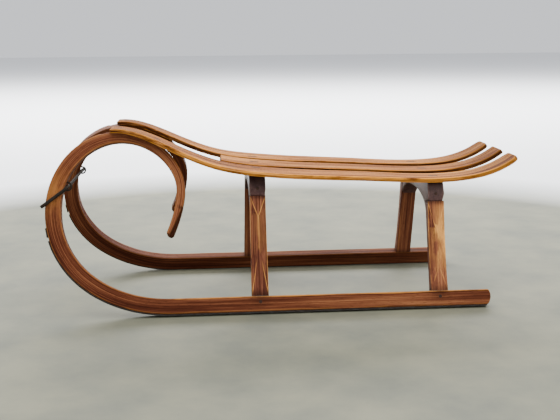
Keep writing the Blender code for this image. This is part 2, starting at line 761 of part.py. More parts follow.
def add_trestle(end, materials, parts, cutters):
    """A yoke, its two legs, and the pegs through the legs' tenons."""
    yoke_name = f"yoke_{end}"
    parts[yoke_name] = yoke(yoke_name, end, materials["stained_yoke"])
    cutters[yoke_name] = []
    for name, side in SIDES.items():
        leg_name = f"leg_{end}_{name}"
        parts[leg_name] = leg(leg_name, end, side, materials["bent_beech"])
        cutters[leg_name] = []
        foot_low = DEPTHS[0] - TENON_FOOT - GAP
        foot = mortise_cutter(LEG_X[end], foot_low, DEPTHS[0] + MORTISE_MOUTH, side)
        head_high = LEG_TOP[end] + TENON_HEAD + GAP
        head = mortise_cutter(LEG_X[end], LEG_TOP[end] - MORTISE_MOUTH, head_high, side)
        cutters[f"runner_{name}"].append(foot)
        cutters[yoke_name].append(head)
        for tenon, holder in (("foot", f"runner_{name}"), ("head", yoke_name)):
            origin, axis = peg_site(tenon, end, side)
            peg(f"{tenon}_peg_{end}_{name}", (origin, axis), materials["dark_peg"])
            for piece in (holder, leg_name):
                hole = round_cutter(PEG_RADIUS + GAP, origin, axis, PEG_LENGTH + GAP)
                cutters[piece].append(hole)


def add_screws(materials, cutters):
    for name, (pieces, origin, axis, length) in screw_sites().items():
        loft(name, screw_rings(origin, axis, length), materials["screw_steel"])
        for piece in pieces:
            hole = loft("cutter", screw_rings(origin, axis, length, GAP), None)
            cutters.setdefault(piece, []).append(hole)


def build():
    clear_scene()
    materials = make_materials()
    parts = {}
    cutters = {}
    add_ironwork_and_runners(materials, parts, cutters)
    add_slats(materials, parts)
    for end in LEG_X:
        add_trestle(end, materials, parts, cutters)
    add_screws(materials, cutters)
    for name, holes in cutters.items():
        cut(parts[name], holes)


build()
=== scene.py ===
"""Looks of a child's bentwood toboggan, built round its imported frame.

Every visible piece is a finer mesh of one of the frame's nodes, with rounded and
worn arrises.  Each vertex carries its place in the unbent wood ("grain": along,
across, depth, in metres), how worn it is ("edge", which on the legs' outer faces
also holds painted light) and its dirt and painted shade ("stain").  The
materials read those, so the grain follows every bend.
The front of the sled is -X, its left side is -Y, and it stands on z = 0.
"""

import random
from math import cos, exp, pi, radians, sin, sqrt, tan

import bmesh
import bpy
import numpy as np
from mathutils import Matrix, Vector, noise


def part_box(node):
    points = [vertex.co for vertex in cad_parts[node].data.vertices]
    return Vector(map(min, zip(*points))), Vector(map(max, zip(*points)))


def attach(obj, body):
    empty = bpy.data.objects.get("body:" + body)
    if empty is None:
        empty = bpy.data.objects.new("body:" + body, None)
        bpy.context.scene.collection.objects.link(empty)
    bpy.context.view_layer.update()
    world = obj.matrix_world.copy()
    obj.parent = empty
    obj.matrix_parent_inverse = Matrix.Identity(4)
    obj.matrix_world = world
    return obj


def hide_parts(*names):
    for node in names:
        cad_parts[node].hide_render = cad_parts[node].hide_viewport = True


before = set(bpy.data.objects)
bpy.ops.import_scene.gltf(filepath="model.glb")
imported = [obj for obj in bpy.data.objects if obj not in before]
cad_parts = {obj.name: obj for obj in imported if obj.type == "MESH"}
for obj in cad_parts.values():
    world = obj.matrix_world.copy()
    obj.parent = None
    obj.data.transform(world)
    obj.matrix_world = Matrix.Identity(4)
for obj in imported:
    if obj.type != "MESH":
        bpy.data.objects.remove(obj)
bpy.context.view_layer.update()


def middle_x(node):
    low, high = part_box(node)
    return (low.x + high.x) / 2


GAP = 0.0003
SIDES = {"left": -1, "right": 1}
FANS = {"left": -1, "middle": 0, "right": 1}

# Layout
LEG_X = {end: middle_x(f"leg_{end}_left") for end in ("front", "rear")}
FRONT_LEG_X = LEG_X["front"]
HALF_TRACK = 0.200
LEAN = radians(16.5)

# Runners
HALF_THICKNESS = 0.0125
RUNNER_REAR_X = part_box("runner_left")[1].x
BEND_START_X = FRONT_LEG_X - 0.192
BEND_HEADINGS = (0, 45, 90, 135, 180, 225, 250, 270, 300)
BEND_RADII = (0.368, 0.216, 0.202, 0.170, 0.135, 0.162, 0.116, 0.096, 0.484)
BEND_END = radians(294)
DEPTH_HEADINGS = (0, 90, 180, 225, 270, 294)
DEPTHS = (0.0335, 0.034, 0.0255, 0.0214, 0.0190, 0.0172)
BEND_STEP = radians(1.5)
HEADING_STEP = radians(0.25)
STRAIGHT_STEP = 0.010
RUNNER_ARRIS = 0.0021
# Each: distance from the rear end, then the depths of the two rims
RUNNER_END_SECTIONS = (
    (0.0, 0.0125, 0.0235), (0.0008, 0.0095, 0.0265), (0.0025, 0.0045, 0.0315),
    (0.0045, 0.0018, 0.0329), (0.0070, 0.0, DEPTHS[0]),
)
# Each: reach past the bend, then how far the outer rim, inner rim and faces draw in
TIP_SECTIONS = (
    (0.0020, 0.0002, 0.0008, 0.0003), (0.0040, 0.0006, 0.0020, 0.0010),
    (0.0058, 0.0016, 0.0036, 0.0020), (0.0072, 0.0029, 0.0054, 0.0033),
    (0.0079, 0.0042, 0.0068, 0.0046),
)
TIP_FACET = 0.0078
TIP_FACET_START = radians(282)
RUB = 0.5
RUB_HEADING = radians(104)
RUB_SPREAD = radians(14)

# Steel shoes
SHOE_THICKNESS = 0.003
SHOE_WIDTH = 0.021
SHOE_REAR_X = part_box("shoe_left")[1].x
SHOE_END = radians(73)
SHOE_WORN_FLAT = 0.005
SHOE_ARRIS = 0.0007
TAB_START = radians(75.5)
TAB_END = radians(81)
TAB_LIFT = 0.001
TAB_THICKNESS = 0.0024
TAB_STEPS = 10

# Legs
LEG_FOOT_WIDTH = 0.037
LEG_HEAD_WIDTH = {"front": 0.0345, "rear": 0.037}
LEG_TOP = {"front": 0.2545, "rear": 0.2335}
LEG_ARRIS = 0.0012
LEG_ROUND = 0.0008
LEG_RIDGE = 0.0024
LEG_CHAMFER_DEPTH = 0.0066
LEG_CHAMFER_STATIONS = {
    "front": (0.0, 0.03, 0.48, 0.80, 0.985, 1.0),
    "rear": (0.0, 0.02, 0.26, 0.66, 0.96, 1.0),
}
LEG_CHAMFER_SHARES = (0, 0, 1, 1, 0, 0)
LEG_STEPS = 48
PEG_RADIUS = 0.0038
PEG_SIDES = 20
PEG_LENGTH = 0.017
PEG_HEIGHT = 0.021
PEG_PROUD = 0.0004
YOKE_PEG_RISE = 0.0165

# Yokes
YOKE_WIDTH = 0.0355
YOKE_PROUD = 0.0015
YOKE_CROWN = 0.031
YOKE_FLARE = {"front": 0.001, "rear": 0.005}
YOKE_ARRIS = 0.0015
ARCH_OVERRUN = 1.03
ARCH_POWER = 2.4
ARCH_STEPS = 30
KNEE_DROP = 0.022
KNEE_THICKNESS = 0.004
FOOT_FRONT_CHAMFER = (0.003, 0.005)
FOOT_REAR_CHAMFER = {"front": (0.003, 0.014), "rear": (0.006, 0.016)}

# Seat slats
SLAT_THICKNESS = 0.0102
SLAT_FRONT_THICKNESS = 0.0080
SLAT_SHAVED = 0.110
SLAT_ARRIS = 0.0020
SLAT_FRONT_X = FRONT_LEG_X - 0.321
SLAT_REAR_X = FRONT_LEG_X + 0.583
SLAT_MIDDLE_X = FRONT_LEG_X - 0.078
SEAT_LINE = (
    (-0.321, 0.4014), (-0.280, 0.3989), (-0.240, 0.3865), (-0.160, 0.3502), (-0.080, 0.3212),
    (0.000, 0.3081), (0.100, 0.2997), (0.250, 0.2918), (0.400, 0.2849), (0.470, 0.2888),
    (0.530, 0.3026), (0.583, 0.3314),
)
SEAT_SLOPES = (0.109, 0.744)
SLAT_WIDTHS = (
    (-0.321, 0.060), (-0.240, 0.071), (-0.160, 0.084), (-0.040, 0.0905), (0.100, 0.088),
    (0.250, 0.077), (0.400, 0.071), (0.583, 0.0675),
)
WIDTH_SLOPES = (0.13, -0.01)
SLAT_CENTRES = (
    (-0.321, 0.084), (-0.240, 0.0885), (-0.160, 0.0965), (-0.040, 0.111), (0.060, 0.1155),
    (0.250, 0.1155), (0.583, 0.112),
)
CENTRE_SLOPES = (0.04, -0.01)
SLAT_CORNER = {"front": 0.005, "rear": 0.014}
SLAT_STEP = 0.006
SLAT_END_STEPS = 7
LOOP_BED_X = (FRONT_LEG_X - 0.340, FRONT_LEG_X - 0.180)
LOOP_BED_LOWEST = 0.30

# Ironwork
ROD_RADIUS = 0.0037
ROD_MIDDLE_RADIUS = 0.0033
ROD_SIDES = 18
ROD_STEP = 0.004
ROD_HEADING = radians(112)
ROD_ARM = 0.070
ROD_ARM_DROP = radians(36)
ROD_BEND = 0.009
ROD_PLAY = 0.0018
ROD_FACE_GAP = 0.0006
ROD_CAD_RADIUS = 0.0038
STAPLE_RADIUS = 0.0020
STAPLE_HALF_SPAN = 0.0085
STAPLE_REACH = 0.0068
STAPLE_ROOT = 0.0156
STAPLE_SIDES = 14
STAPLE_STEP = 0.0012
ARC_STEPS = 24
BAR_DOME = ((0.0, 1.0), (0.18, 0.93), (0.36, 0.75), (0.45, 0.45))
SCREW_HEAD = 0.0034
SCREW_SHANK = 0.0016
SCREW_HEAD_DEPTH = 0.0021
SCREW_SIDES = 28
SCREW_RIM = 0.0002
SCREW_SUNK = 0.00045
SHOE_SCREW_SUNK = 0.0001
SCREW_SLOT_WIDTH = 0.0008
SCREW_SLOT_DEPTH = 0.0009
SLAT_SCREW_LENGTH = 0.026
LOOP_SCREW_LENGTH = 0.024
SHOE_SCREW_LENGTH = 0.014
SLAT_SCREW_SPREAD = 0.0048
SLAT_SCREW_Y = {"front": 0.092, "rear": 0.1125}
LOOP_SCREW_X = (FRONT_LEG_X - 0.300, FRONT_LEG_X - 0.2185)
SHOE_SCREW_X = (RUNNER_REAR_X - 0.022, FRONT_LEG_X + 0.270, FRONT_LEG_X + 0.100, FRONT_LEG_X - 0.080)
SHOE_SCREW_HEADINGS = (radians(18), radians(45), radians(68))
TAB_SCREW_HEADING = radians(78)
DISH_RADIUS = 0.0046
DISH_DEPTH = 0.0011
DISH_GRID = 0.0008
STAIN_RADIUS = 0.0095
STAIN_STEPS = int(STAIN_RADIUS / DISH_GRID)

# Wear, dirt, painted shade and painted light; a wear width is how far wear fades out beside an arris
RUNNER_WEAR_WIDTH = 0.0008
LEG_WEAR_WIDTH = 0.0007
SLAT_WEAR_WIDTH = 0.0022
# Painted shade on the inner faces of runners and legs, which face inward and down
INNER_PAINTED_SHADE = 0.3
END_GRIME = 0.75
SLAT_OUTER_WEAR = 0.6
# Painted shade on the lower half of a slat's sides and on the inner sides between slats
SLAT_LOWER_SIDE_SHADE = 0.5
SLAT_INNER_PAINTED_SHADE = 0.85
SLAT_INNER_WEAR = 0.35
# Painted shade on the slats towards their front and rear ends
FRONT_PAINTED_SHADE = 0.35
FRONT_PAINTED_SHADE_REACH = 0.20
REAR_PAINTED_SHADE = 0.5
REAR_PAINTED_SHADE_REACH = 0.20
# Worn colour on the right-hand part of a leg's outer face: painted light from the right, with some
# wear
LEG_FACE_WEAR_AND_LIGHT = {"front": 0.12, "rear": 1.0}
LEG_LIT_FROM = -0.0045
LEG_LIT_MIDDLE = 0.6
LEG_LIT_REACH = 0.55
CORNER_STEPS = 3

WEAR_DEPTH = SHOE_WORN_FLAT * sin(LEAN) * cos(LEAN)
GROUND_LIFT = (GAP + SHOE_THICKNESS) * cos(LEAN) + 0.5 * SHOE_WIDTH * sin(LEAN) - WEAR_DEPTH

# Camera: the photograph's viewpoint, on the sled's left
CAMERA_POSITION = (-0.1656, -2.0948, 0.6123)
CAMERA_PITCH = 0.198
CAMERA_YAW = 0.0801
CAMERA_ROLL = -0.0076
CAMERA_LENS = 57.86
SENSOR_WIDTH = 36.0


# Side frame

def frame_point(x, t, n, side):
    """World place in a side frame: t up the leaning frame, n out from its middle."""
    y = HALF_TRACK - t * sin(LEAN) + n * cos(LEAN)
    z = GROUND_LIFT + t * cos(LEAN) + n * sin(LEAN)
    return Vector((x, side * y, z))


def frame_axis(dx, dt, dn, side):
    return frame_point(dx, dt, dn, side) - frame_point(0, 0, 0, side)


def bend_point(heading):
    """Outer rim of the runner, and the length of the bend up to it, at a heading."""
    steps = max(2, int(heading / HEADING_STEP))
    angles = np.linspace(0, heading, steps + 1)
    radii = np.interp(angles, np.radians(BEND_HEADINGS), BEND_RADII)
    step = np.diff(angles)

    def total(rate):
        return float(np.sum((rate[1:] + rate[:-1]) / 2 * step))

    x = BEND_START_X - total(radii * np.cos(angles))
    return x, total(radii * np.sin(angles)), total(radii)


def straight_place(x, side):
    """Function that places a section's (t, n) on the straight."""
    return lambda t, n: frame_point(x, t, n, side)


def bend_place(heading, side):
    """Function that places a section's (depth below the outer rim, n) on the bend."""
    x, t, _ = bend_point(heading)
    return lambda depth, n: frame_point(x + depth * sin(heading), t + depth * cos(heading), n, side)


def rim_point(heading, depth, n, side):
    return bend_place(heading, side)(depth, n)


def runner_depth(heading):
    return float(np.interp(heading, np.radians(DEPTH_HEADINGS), DEPTHS))


# Seat line

def clamped_spline(points, slopes):
    """Knots, heights and bends of the smooth curve with given end slopes."""
    x, z = np.array(points).T
    h = np.diff(x)
    matrix = np.diag(2 * (np.append(h, 0) + np.append(0, h))) + np.diag(h, 1) + np.diag(h, -1)
    target = 6 * np.diff([slopes[0], *np.diff(z) / h, slopes[1]])
    return x, z, np.linalg.solve(matrix, target)


SEAT_CURVE = clamped_spline(SEAT_LINE, SEAT_SLOPES)
WIDTH_CURVE = clamped_spline(SLAT_WIDTHS, WIDTH_SLOPES)
CENTRE_CURVE = clamped_spline(SLAT_CENTRES, CENTRE_SLOPES)


def curve_at(curve, x):
    """Value and slope of a seat curve at a world x."""
    knots, heights, bends = curve
    u = x - FRONT_LEG_X
    i = int(np.clip(np.searchsorted(knots, u) - 1, 0, len(knots) - 2))
    h = knots[i + 1] - knots[i]
    a = (knots[i + 1] - u) / h
    b = (u - knots[i]) / h
    z = a * heights[i] + b * heights[i + 1]
    z += ((a ** 3 - a) * bends[i] + (b ** 3 - b) * bends[i + 1]) * h * h / 6
    slope = (heights[i + 1] - heights[i]) / h
    slope += ((3 * b * b - 1) * bends[i + 1] - (3 * a * a - 1) * bends[i]) * h / 6
    return float(z), float(slope)


def seat_line(x):
    """Height and slope of the slats' top."""
    return curve_at(SEAT_CURVE, x)


def slat_thickness(x):
    """The slats are shaved thinner towards the front end, over the scrolls."""
    share = min(1.0, max(0.0, (x - SLAT_FRONT_X) / SLAT_SHAVED))
    return SLAT_FRONT_THICKNESS + (SLAT_THICKNESS - SLAT_FRONT_THICKNESS) * share


def seat_underside(x):
    z, slope = seat_line(x)
    return z - slat_thickness(x) * sqrt(1 + slope * slope)


def slat_centre(x, fan):
    """Distance of a slat's middle from the sled's middle: fan is -1, 0 or 1."""
    return fan * curve_at(CENTRE_CURVE, x)[0]


def slat_point(x, across, depth, fan):
    """A point of a slat, at a depth below its top measured square to its surface."""
    z, slope = seat_line(x)
    length = sqrt(1 + slope * slope)
    return Vector((x + depth * slope / length, slat_centre(x, fan) + across, z - depth / length))


# Mesh helpers

def falloff(distance, reach):
    """1 at no distance, easing to 0 at the reach."""
    share = min(1.0, max(0.0, 1 - distance / reach))
    return share * share * (3 - 2 * share)


def wobble(along, seed, rate):
    """Slow random change along a piece, from about -1 to 1."""
    return noise.noise(Vector((along * rate, seed * 7.31, 0.37))) * 2


def corner_arc(corner, into, out, reach, steps):
    """Arc round a corner, from a reach before it to the same reach after it."""
    turn = into.angle(out)
    radius = reach / tan(turn / 2)
    inward = (out - into * into.dot(out)).normalized()
    centre = corner - into * reach + inward * radius
    angles = [turn * k / steps for k in range(steps + 1)]
    return [centre - inward * radius * cos(a) + into * radius * sin(a) for a in angles]


def rounded_section(corners, radii, wear_width, extra=None):
    """Outline with rounded corners as (a, b, edge), where edge is 1 on a corner.

    It fades to 0 over wear_width of the flats.  extra gives more points (a, b) for a
    side, by the number of the corner it starts from.
    """
    points = []
    count = len(corners)
    for i, corner in enumerate(corners):
        here = Vector(corner)
        into = here - Vector(corners[i - 1])
        out = Vector(corners[(i + 1) % count]) - here
        half_in = into.length / 2
        half_out = out.length / 2
        into.normalize()
        out.normalize()
        reach = min(radii[i] * tan(into.angle(out) / 2), half_in * 0.9, half_out * 0.9)
        flat = min(wear_width, (half_in - reach) * 0.9)
        points.append((*(here - into * reach - into * flat), 0.0))
        points += [(*point, 1.0) for point in corner_arc(here, into, out, reach, CORNER_STEPS)]
        flat = min(wear_width, (half_out - reach) * 0.9)
        points.append((*(here + out * (reach + flat)), 0.0))
        for a, b in (extra or {}).get(i, ()):
            points.append((a, b, 0.0))
    return points


def skin(name, rings):
    """Closed mesh through rings of (place, grain, edge, stain), with flat end caps."""
    count = len(rings[0])
    vertices = [vertex for ring in rings for vertex in ring]
    last = len(vertices) - count
    faces = [tuple(range(count)), tuple(range(last, len(vertices)))]
    for low in range(0, last, count):
        high = low + count
        for i in range(count):
            j = (i + 1) % count
            faces.append((low + i, low + j, high + j, high + i))
    mesh = bpy.data.meshes.new(name)
    mesh.from_pydata([v[0] for v in vertices], [], faces)
    add_layer(mesh, "grain", "FLOAT_VECTOR", "vector", [c for v in vertices for c in v[1]])
    add_layer(mesh, "edge", "FLOAT", "value", [v[2] for v in vertices])
    add_layer(mesh, "shade_and_dirt", "FLOAT", "value", [v[3] for v in vertices])
    bm = bmesh.new()
    bm.from_mesh(mesh)
    bmesh.ops.recalc_face_normals(bm, faces=bm.faces[:])
    bm.to_mesh(mesh)
    bm.free()
    return mesh


def add_layer(mesh, name, kind, field, values):
    layer = mesh.attributes.new(name, kind, "POINT")
    layer.data.foreach_set(field, np.array(values, np.float32))


def new_object(name, data):
    thing = bpy.data.objects.new(name, data)
    bpy.context.scene.collection.objects.link(thing)
    return thing


def add_piece(name, mesh, look, sharp=radians(38), matrix=None):
    """Make a mesh the visible piece of a node; look is its slot and its material, and the slot is not
    used.
    """
    slot, material = look
    mesh.shade_smooth()
    mesh.set_sharp_from_angle(angle=sharp)
    piece = new_object(f"{name}_look", mesh)
    if matrix is not None:
        piece.matrix_world = matrix
    if not mesh.materials:
        mesh.materials.append(material)
    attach(piece, "root")
    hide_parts(name)


def standing_on(origin, axis, turn):
    """Matrix that stands a piece made round z on a point, turned about its axis."""
    tilt = Vector((0, 0, 1)).rotation_difference(Vector(axis)).to_matrix().to_4x4()
    return Matrix.Translation(origin) @ tilt @ Matrix.Rotation(turn, 4, "Z")


# Runners

def runner_section(depth_low, depth_high, arris, facet=0.0):
    """Runner section as (depth, n, edge), with a facet on the outer rim's outer side."""
    half = HALF_THICKNESS
    corners = [
        (depth_low, -half), (depth_high, -half), (depth_high, half),
        (depth_low + facet + arris, half), (depth_low, half - facet - arris),
    ]
    return rounded_section(corners, [arris] * 5, RUNNER_WEAR_WIDTH)


def worn_arris(along, seed):
    """A runner's arris, which varies along it."""
    return RUNNER_ARRIS * (1 + 0.3 * wobble(along, seed, 18))


def runner_wear(depth, n, along):
    """How far an arris is rubbed bare: most on the outer face's upper one."""
    if n < 0:
        return 0.2
    return 1.0 if depth > DEPTHS[0] / 2 and along < RUNNER_REAR_X - BEND_START_X else 0.35


def runner_contact_shade(point):
    """Painted contact shade on the runner's top round a leg's foot."""
    near_leg = max(falloff(abs(point.x - x), LEG_FOOT_WIDTH * 0.9) for x in LEG_X.values())
    low = falloff(abs(point.z - GROUND_LIFT - DEPTHS[0]), DEPTHS[0] * 0.7)
    return 0.55 * near_leg * low


def bedded(point):
    """Plane the top of the loop level where an outer slat lies on it."""
    if LOOP_BED_X[0] < point.x < LOOP_BED_X[1] and point.z > LOOP_BED_LOWEST:
        point.z = min(point.z, seat_underside(point.x) - 2 * GAP)
    return point


def runner_mesh(name, side, seed):
    rings = []

    def add_ring(along, section, place, rub=0.0, facet=0.0):
        ring = []
        for depth, n, edge in section:
            point = bedded(place(depth, n))
            worn = max(edge * runner_wear(depth, n, along), rub * (n > 0))
            # Painted shade: contact shade round a leg's foot, and shade on the inner face
            shade_and_dirt = max(runner_contact_shade(point), INNER_PAINTED_SHADE * (n < 0))
            if facet and HALF_THICKNESS - n + depth < facet + RUNNER_ARRIS * 1.4:
                shade_and_dirt = END_GRIME
            ring.append((point, (along + seed, n, depth), worn, shade_and_dirt))
        rings.append(ring)

    for inset, low, high in RUNNER_END_SECTIONS:
        section = runner_section(low, high, min(RUNNER_ARRIS, (high - low) / 5))
        add_ring(inset, section, straight_place(RUNNER_REAR_X - inset, side))
    start = RUNNER_END_SECTIONS[-1][0]
    length = RUNNER_REAR_X - BEND_START_X
    steps = int(length / STRAIGHT_STEP)
    for i in range(1, steps):
        along = start + (length - start) * i / steps
        section = runner_section(0.0, DEPTHS[0], worn_arris(along, seed))
        add_ring(along, section, straight_place(RUNNER_REAR_X - along, side))
    steps = round(BEND_END / BEND_STEP)
    for i in range(steps + 1):
        heading = BEND_END * i / steps
        along = length + bend_point(heading)[2]
        thick = runner_depth(heading)
        arris = min(worn_arris(along, seed), thick / 5)
        facet = TIP_FACET * max(0.0, (heading - TIP_FACET_START) / (BEND_END - TIP_FACET_START))
        rub = RUB * exp(-((heading - RUB_HEADING) / RUB_SPREAD) ** 2)
        section = runner_section(0.0, thick, arris, facet)
        add_ring(along, section, bend_place(heading, side), rub, facet)
    run = bend_point(BEND_END)[2]
    section = runner_section(0.0, DEPTHS[-1], arris, TIP_FACET)
    for reach, outer, inner, face in TIP_SECTIONS:
        ahead = frame_axis(-reach * cos(BEND_END), reach * sin(BEND_END), 0, side)
        ring = []
        for depth, n, edge in section:
            near_depth = outer + depth * (1 - (outer + inner) / DEPTHS[-1])
            near_n = n * (1 - face / HALF_THICKNESS)
            point = rim_point(BEND_END, near_depth, near_n, side) + ahead
            ring.append((point, (length + run + reach + seed, n, depth), 0.3 * edge, END_GRIME))
        rings.append(ring)
    return skin(name, rings)


# Shoes

def shoe_section(place, thickness, lift=0.0):
    """Corners of a shoe's section as (t, n), worn away below the ground."""
    half = SHOE_WIDTH / 2
    inner = -GAP - lift
    outer = inner - thickness
    sunk = max(0.0, -place(outer, -half).z)
    across = max(sunk / sin(LEAN), SHOE_ARRIS)
    up = max(sunk / cos(LEAN), SHOE_ARRIS * 0.5)
    return [(outer, -half + across), (outer, half), (inner, half), (inner, -half), (outer + up, -half)]


def shoe_ring(along, place, thickness, lift=0.0):
    corners = shoe_section(place, thickness, lift)
    radii = [SHOE_ARRIS * share for share in (0.3, 1.0, 0.6, 0.6, 0.3)]
    ring = []
    for t, n, edge in rounded_section(corners, radii, SHOE_ARRIS):
        bottom = falloff(abs(t - corners[0][0]), thickness * 0.5)
        point = place(t, n)
        point.z = max(point.z, 0.0)
        ring.append((point, (along, n, t), max(edge * 0.4, bottom), 0.0))
    return ring


def shoe_mesh(name, side):
    rings = []
    length = SHOE_REAR_X - BEND_START_X
    steps = int(length / STRAIGHT_STEP)
    for i in range(steps):
        along = length * i / steps
        rings.append(shoe_ring(along, straight_place(SHOE_REAR_X - along, side), SHOE_THICKNESS))
    steps = round(SHOE_END / BEND_STEP)
    for i in range(steps + 1):
        heading = SHOE_END * i / steps
        along = length + bend_point(heading)[2]
        rings.append(shoe_ring(along, bend_place(heading, side), SHOE_THICKNESS))
    return skin(name, rings)


def tab_mesh(name, side):
    """Separate end of the shoe, held by one screw and lifted at its lower end."""
    rings = []
    for i in range(TAB_STEPS + 1):
        share = i / TAB_STEPS
        heading = TAB_START + (TAB_END - TAB_START) * share
        lift = TAB_LIFT * max(0.0, 1 - 1.6 * share) ** 2
        along = bend_point(heading)[2]
        rings.append(shoe_ring(along, bend_place(heading, side), TAB_THICKNESS, lift))
    return skin(name, rings)


# Legs

def leg_corners(width, across, depth):
    """Leg section as (x, n): square inside, chamfered on its two outer corners."""
    side = width / 2
    half = HALF_THICKNESS
    return [
        (-side, -half), (side, -half), (side, half - depth),
        (side - across, half), (-side + across, half), (-side, half - depth),
    ]


def leg_mesh(name, end, side, seed):
    """Leg whose long chamfers start and end in points and meet in a ridge."""
    foot = DEPTHS[0] + GAP
    head = LEG_TOP[end]
    stations = LEG_CHAMFER_STATIONS[end]
    shares = sorted({i / LEG_STEPS for i in range(LEG_STEPS + 1)} | set(stations))
    rings = []
    for share in shares:
        full = float(np.interp(share, stations, LEG_CHAMFER_SHARES))
        width = LEG_FOOT_WIDTH + (LEG_HEAD_WIDTH[end] - LEG_FOOT_WIDTH) * share
        across = LEG_ARRIS + ((width - LEG_RIDGE) / 2 - LEG_ARRIS) * full
        depth = LEG_ARRIS + (LEG_CHAMFER_DEPTH - LEG_ARRIS) * full
        t = foot + (head - foot) * share
        radius = LEG_ROUND * (1 + 0.4 * wobble(t, seed, 30))
        corners = leg_corners(width, across, depth)
        ring = []
        for x, n, edge in rounded_section(corners, [radius] * 6, LEG_WEAR_WIDTH):
            point = frame_point(LEG_X[end] + x, t, n, side)
            # Painted contact shade at the foot and head, where the leg meets runner and yoke
            shade_and_dirt = 0.7 * max(falloff(t - foot, 0.02), falloff(head - t, 0.012))
            # Painted light, with some wear, on the right-hand facets of the outer face
            wear_and_light = LEG_FACE_WEAR_AND_LIGHT[end] * (x > LEG_LIT_FROM)
            wear_and_light *= falloff(abs(share - LEG_LIT_MIDDLE), LEG_LIT_REACH)
            worn = max(edge, wear_and_light) * (1 - shade_and_dirt) * (n > 0)
            shade_and_dirt = max(shade_and_dirt, INNER_PAINTED_SHADE * (n < 0))
            ring.append((point, (t + seed, x, n), worn, shade_and_dirt))
        rings.append(ring)
    return skin(name, rings)


def peg_site(tenon, end, side):
    """Place on the outer face, and outward axis, of the peg through a leg's tenon."""
    face = HALF_THICKNESS
    height = PEG_HEIGHT
    if tenon == "head":
        face += YOKE_PROUD
        height = LEG_TOP[end] + YOKE_PEG_RISE
    return frame_point(LEG_X[end], height, face, side), frame_axis(0, 0, 1, side)


def turned_mesh(name, profile, sides):
    """Mesh turned round the z axis from (radius, z, edge) points, capped at both ends."""
    rings = []
    for radius, z, edge in profile:
        ring = []
        for i in range(sides):
            angle = 2 * pi * i / sides
            x = radius * cos(angle)
            y = radius * sin(angle)
            ring.append((Vector((x, y, z)), (z, x, y), edge, 0.0))
        rings.append(ring)
    return skin(name, rings)


def peg_mesh():
    """Peg with a domed end that stands a little proud."""
    profile = [(PEG_RADIUS, -PEG_LENGTH, 0.0), (PEG_RADIUS, -PEG_PROUD, 0.0)]
    for share in (0.96, 0.86, 0.62, 0.3):
        profile.append((PEG_RADIUS * share, PEG_PROUD * sqrt(1 - share * share), 0.5))
    return turned_mesh("peg", profile, PEG_SIDES)


# Yokes

def yoke_top(end):
    reach = YOKE_WIDTH / 2 + YOKE_FLARE[end]
    return min(seat_underside(LEG_X[end] + offset) for offset in (-reach, 0, reach)) - GAP


def yoke_half_outline(end, foot_rise):
    """Right half of the outline as (y, z), from the crown round the foot to the top."""
    top = yoke_top(end)
    crown = top - YOKE_CROWN
    half = HALF_THICKNESS
    shoulder = LEG_TOP[end] + GAP + foot_rise
    outer = half + YOKE_PROUD
    knee = LEG_TOP[end] - KNEE_DROP + foot_rise
    toe = frame_point(0, knee, -half - GAP - KNEE_THICKNESS, 1)
    span = ARCH_OVERRUN * toe.y
    rise = (crown - toe.z) / (1 - (1 - (toe.y / span) ** ARCH_POWER) ** (1 / ARCH_POWER))
    points = []
    for i in range(ARCH_STEPS):
        y = toe.y * sin(pi / 2 * i / ARCH_STEPS)
        z = crown - rise * (1 - (1 - (y / span) ** ARCH_POWER) ** (1 / ARCH_POWER))
        points.append((y, z))
    points.append((toe.y, toe.z))
    t_top = (top - GROUND_LIFT - outer * sin(LEAN)) / cos(LEAN)
    for t, n in (
        (knee, -half - GAP), (shoulder, -half - GAP), (shoulder, outer - YOKE_ARRIS),
        (shoulder + YOKE_ARRIS, outer), (t_top - YOKE_ARRIS, outer),
    ):
        corner = frame_point(0, t, n, 1)
        points.append((corner.y, corner.z))
    points.append((corner.y - YOKE_ARRIS, top))
    points += [(corner.y * share, top) for share in (0.6, 0.3)]
    return points


def moved_in(outline, distance):
    """Clockwise outline with every side moved inwards."""
    points = []
    count = len(outline)
    for i in range(count):
        here = Vector(outline[i])
        into = (here - Vector(outline[i - 1])).normalized()
        out = (Vector(outline[(i + 1) % count]) - here).normalized()
        left = Vector((into.y + out.y, -into.x - out.x)) / 2
        points.append(here - left / max(left.length_squared, 0.4) * distance)
    return points


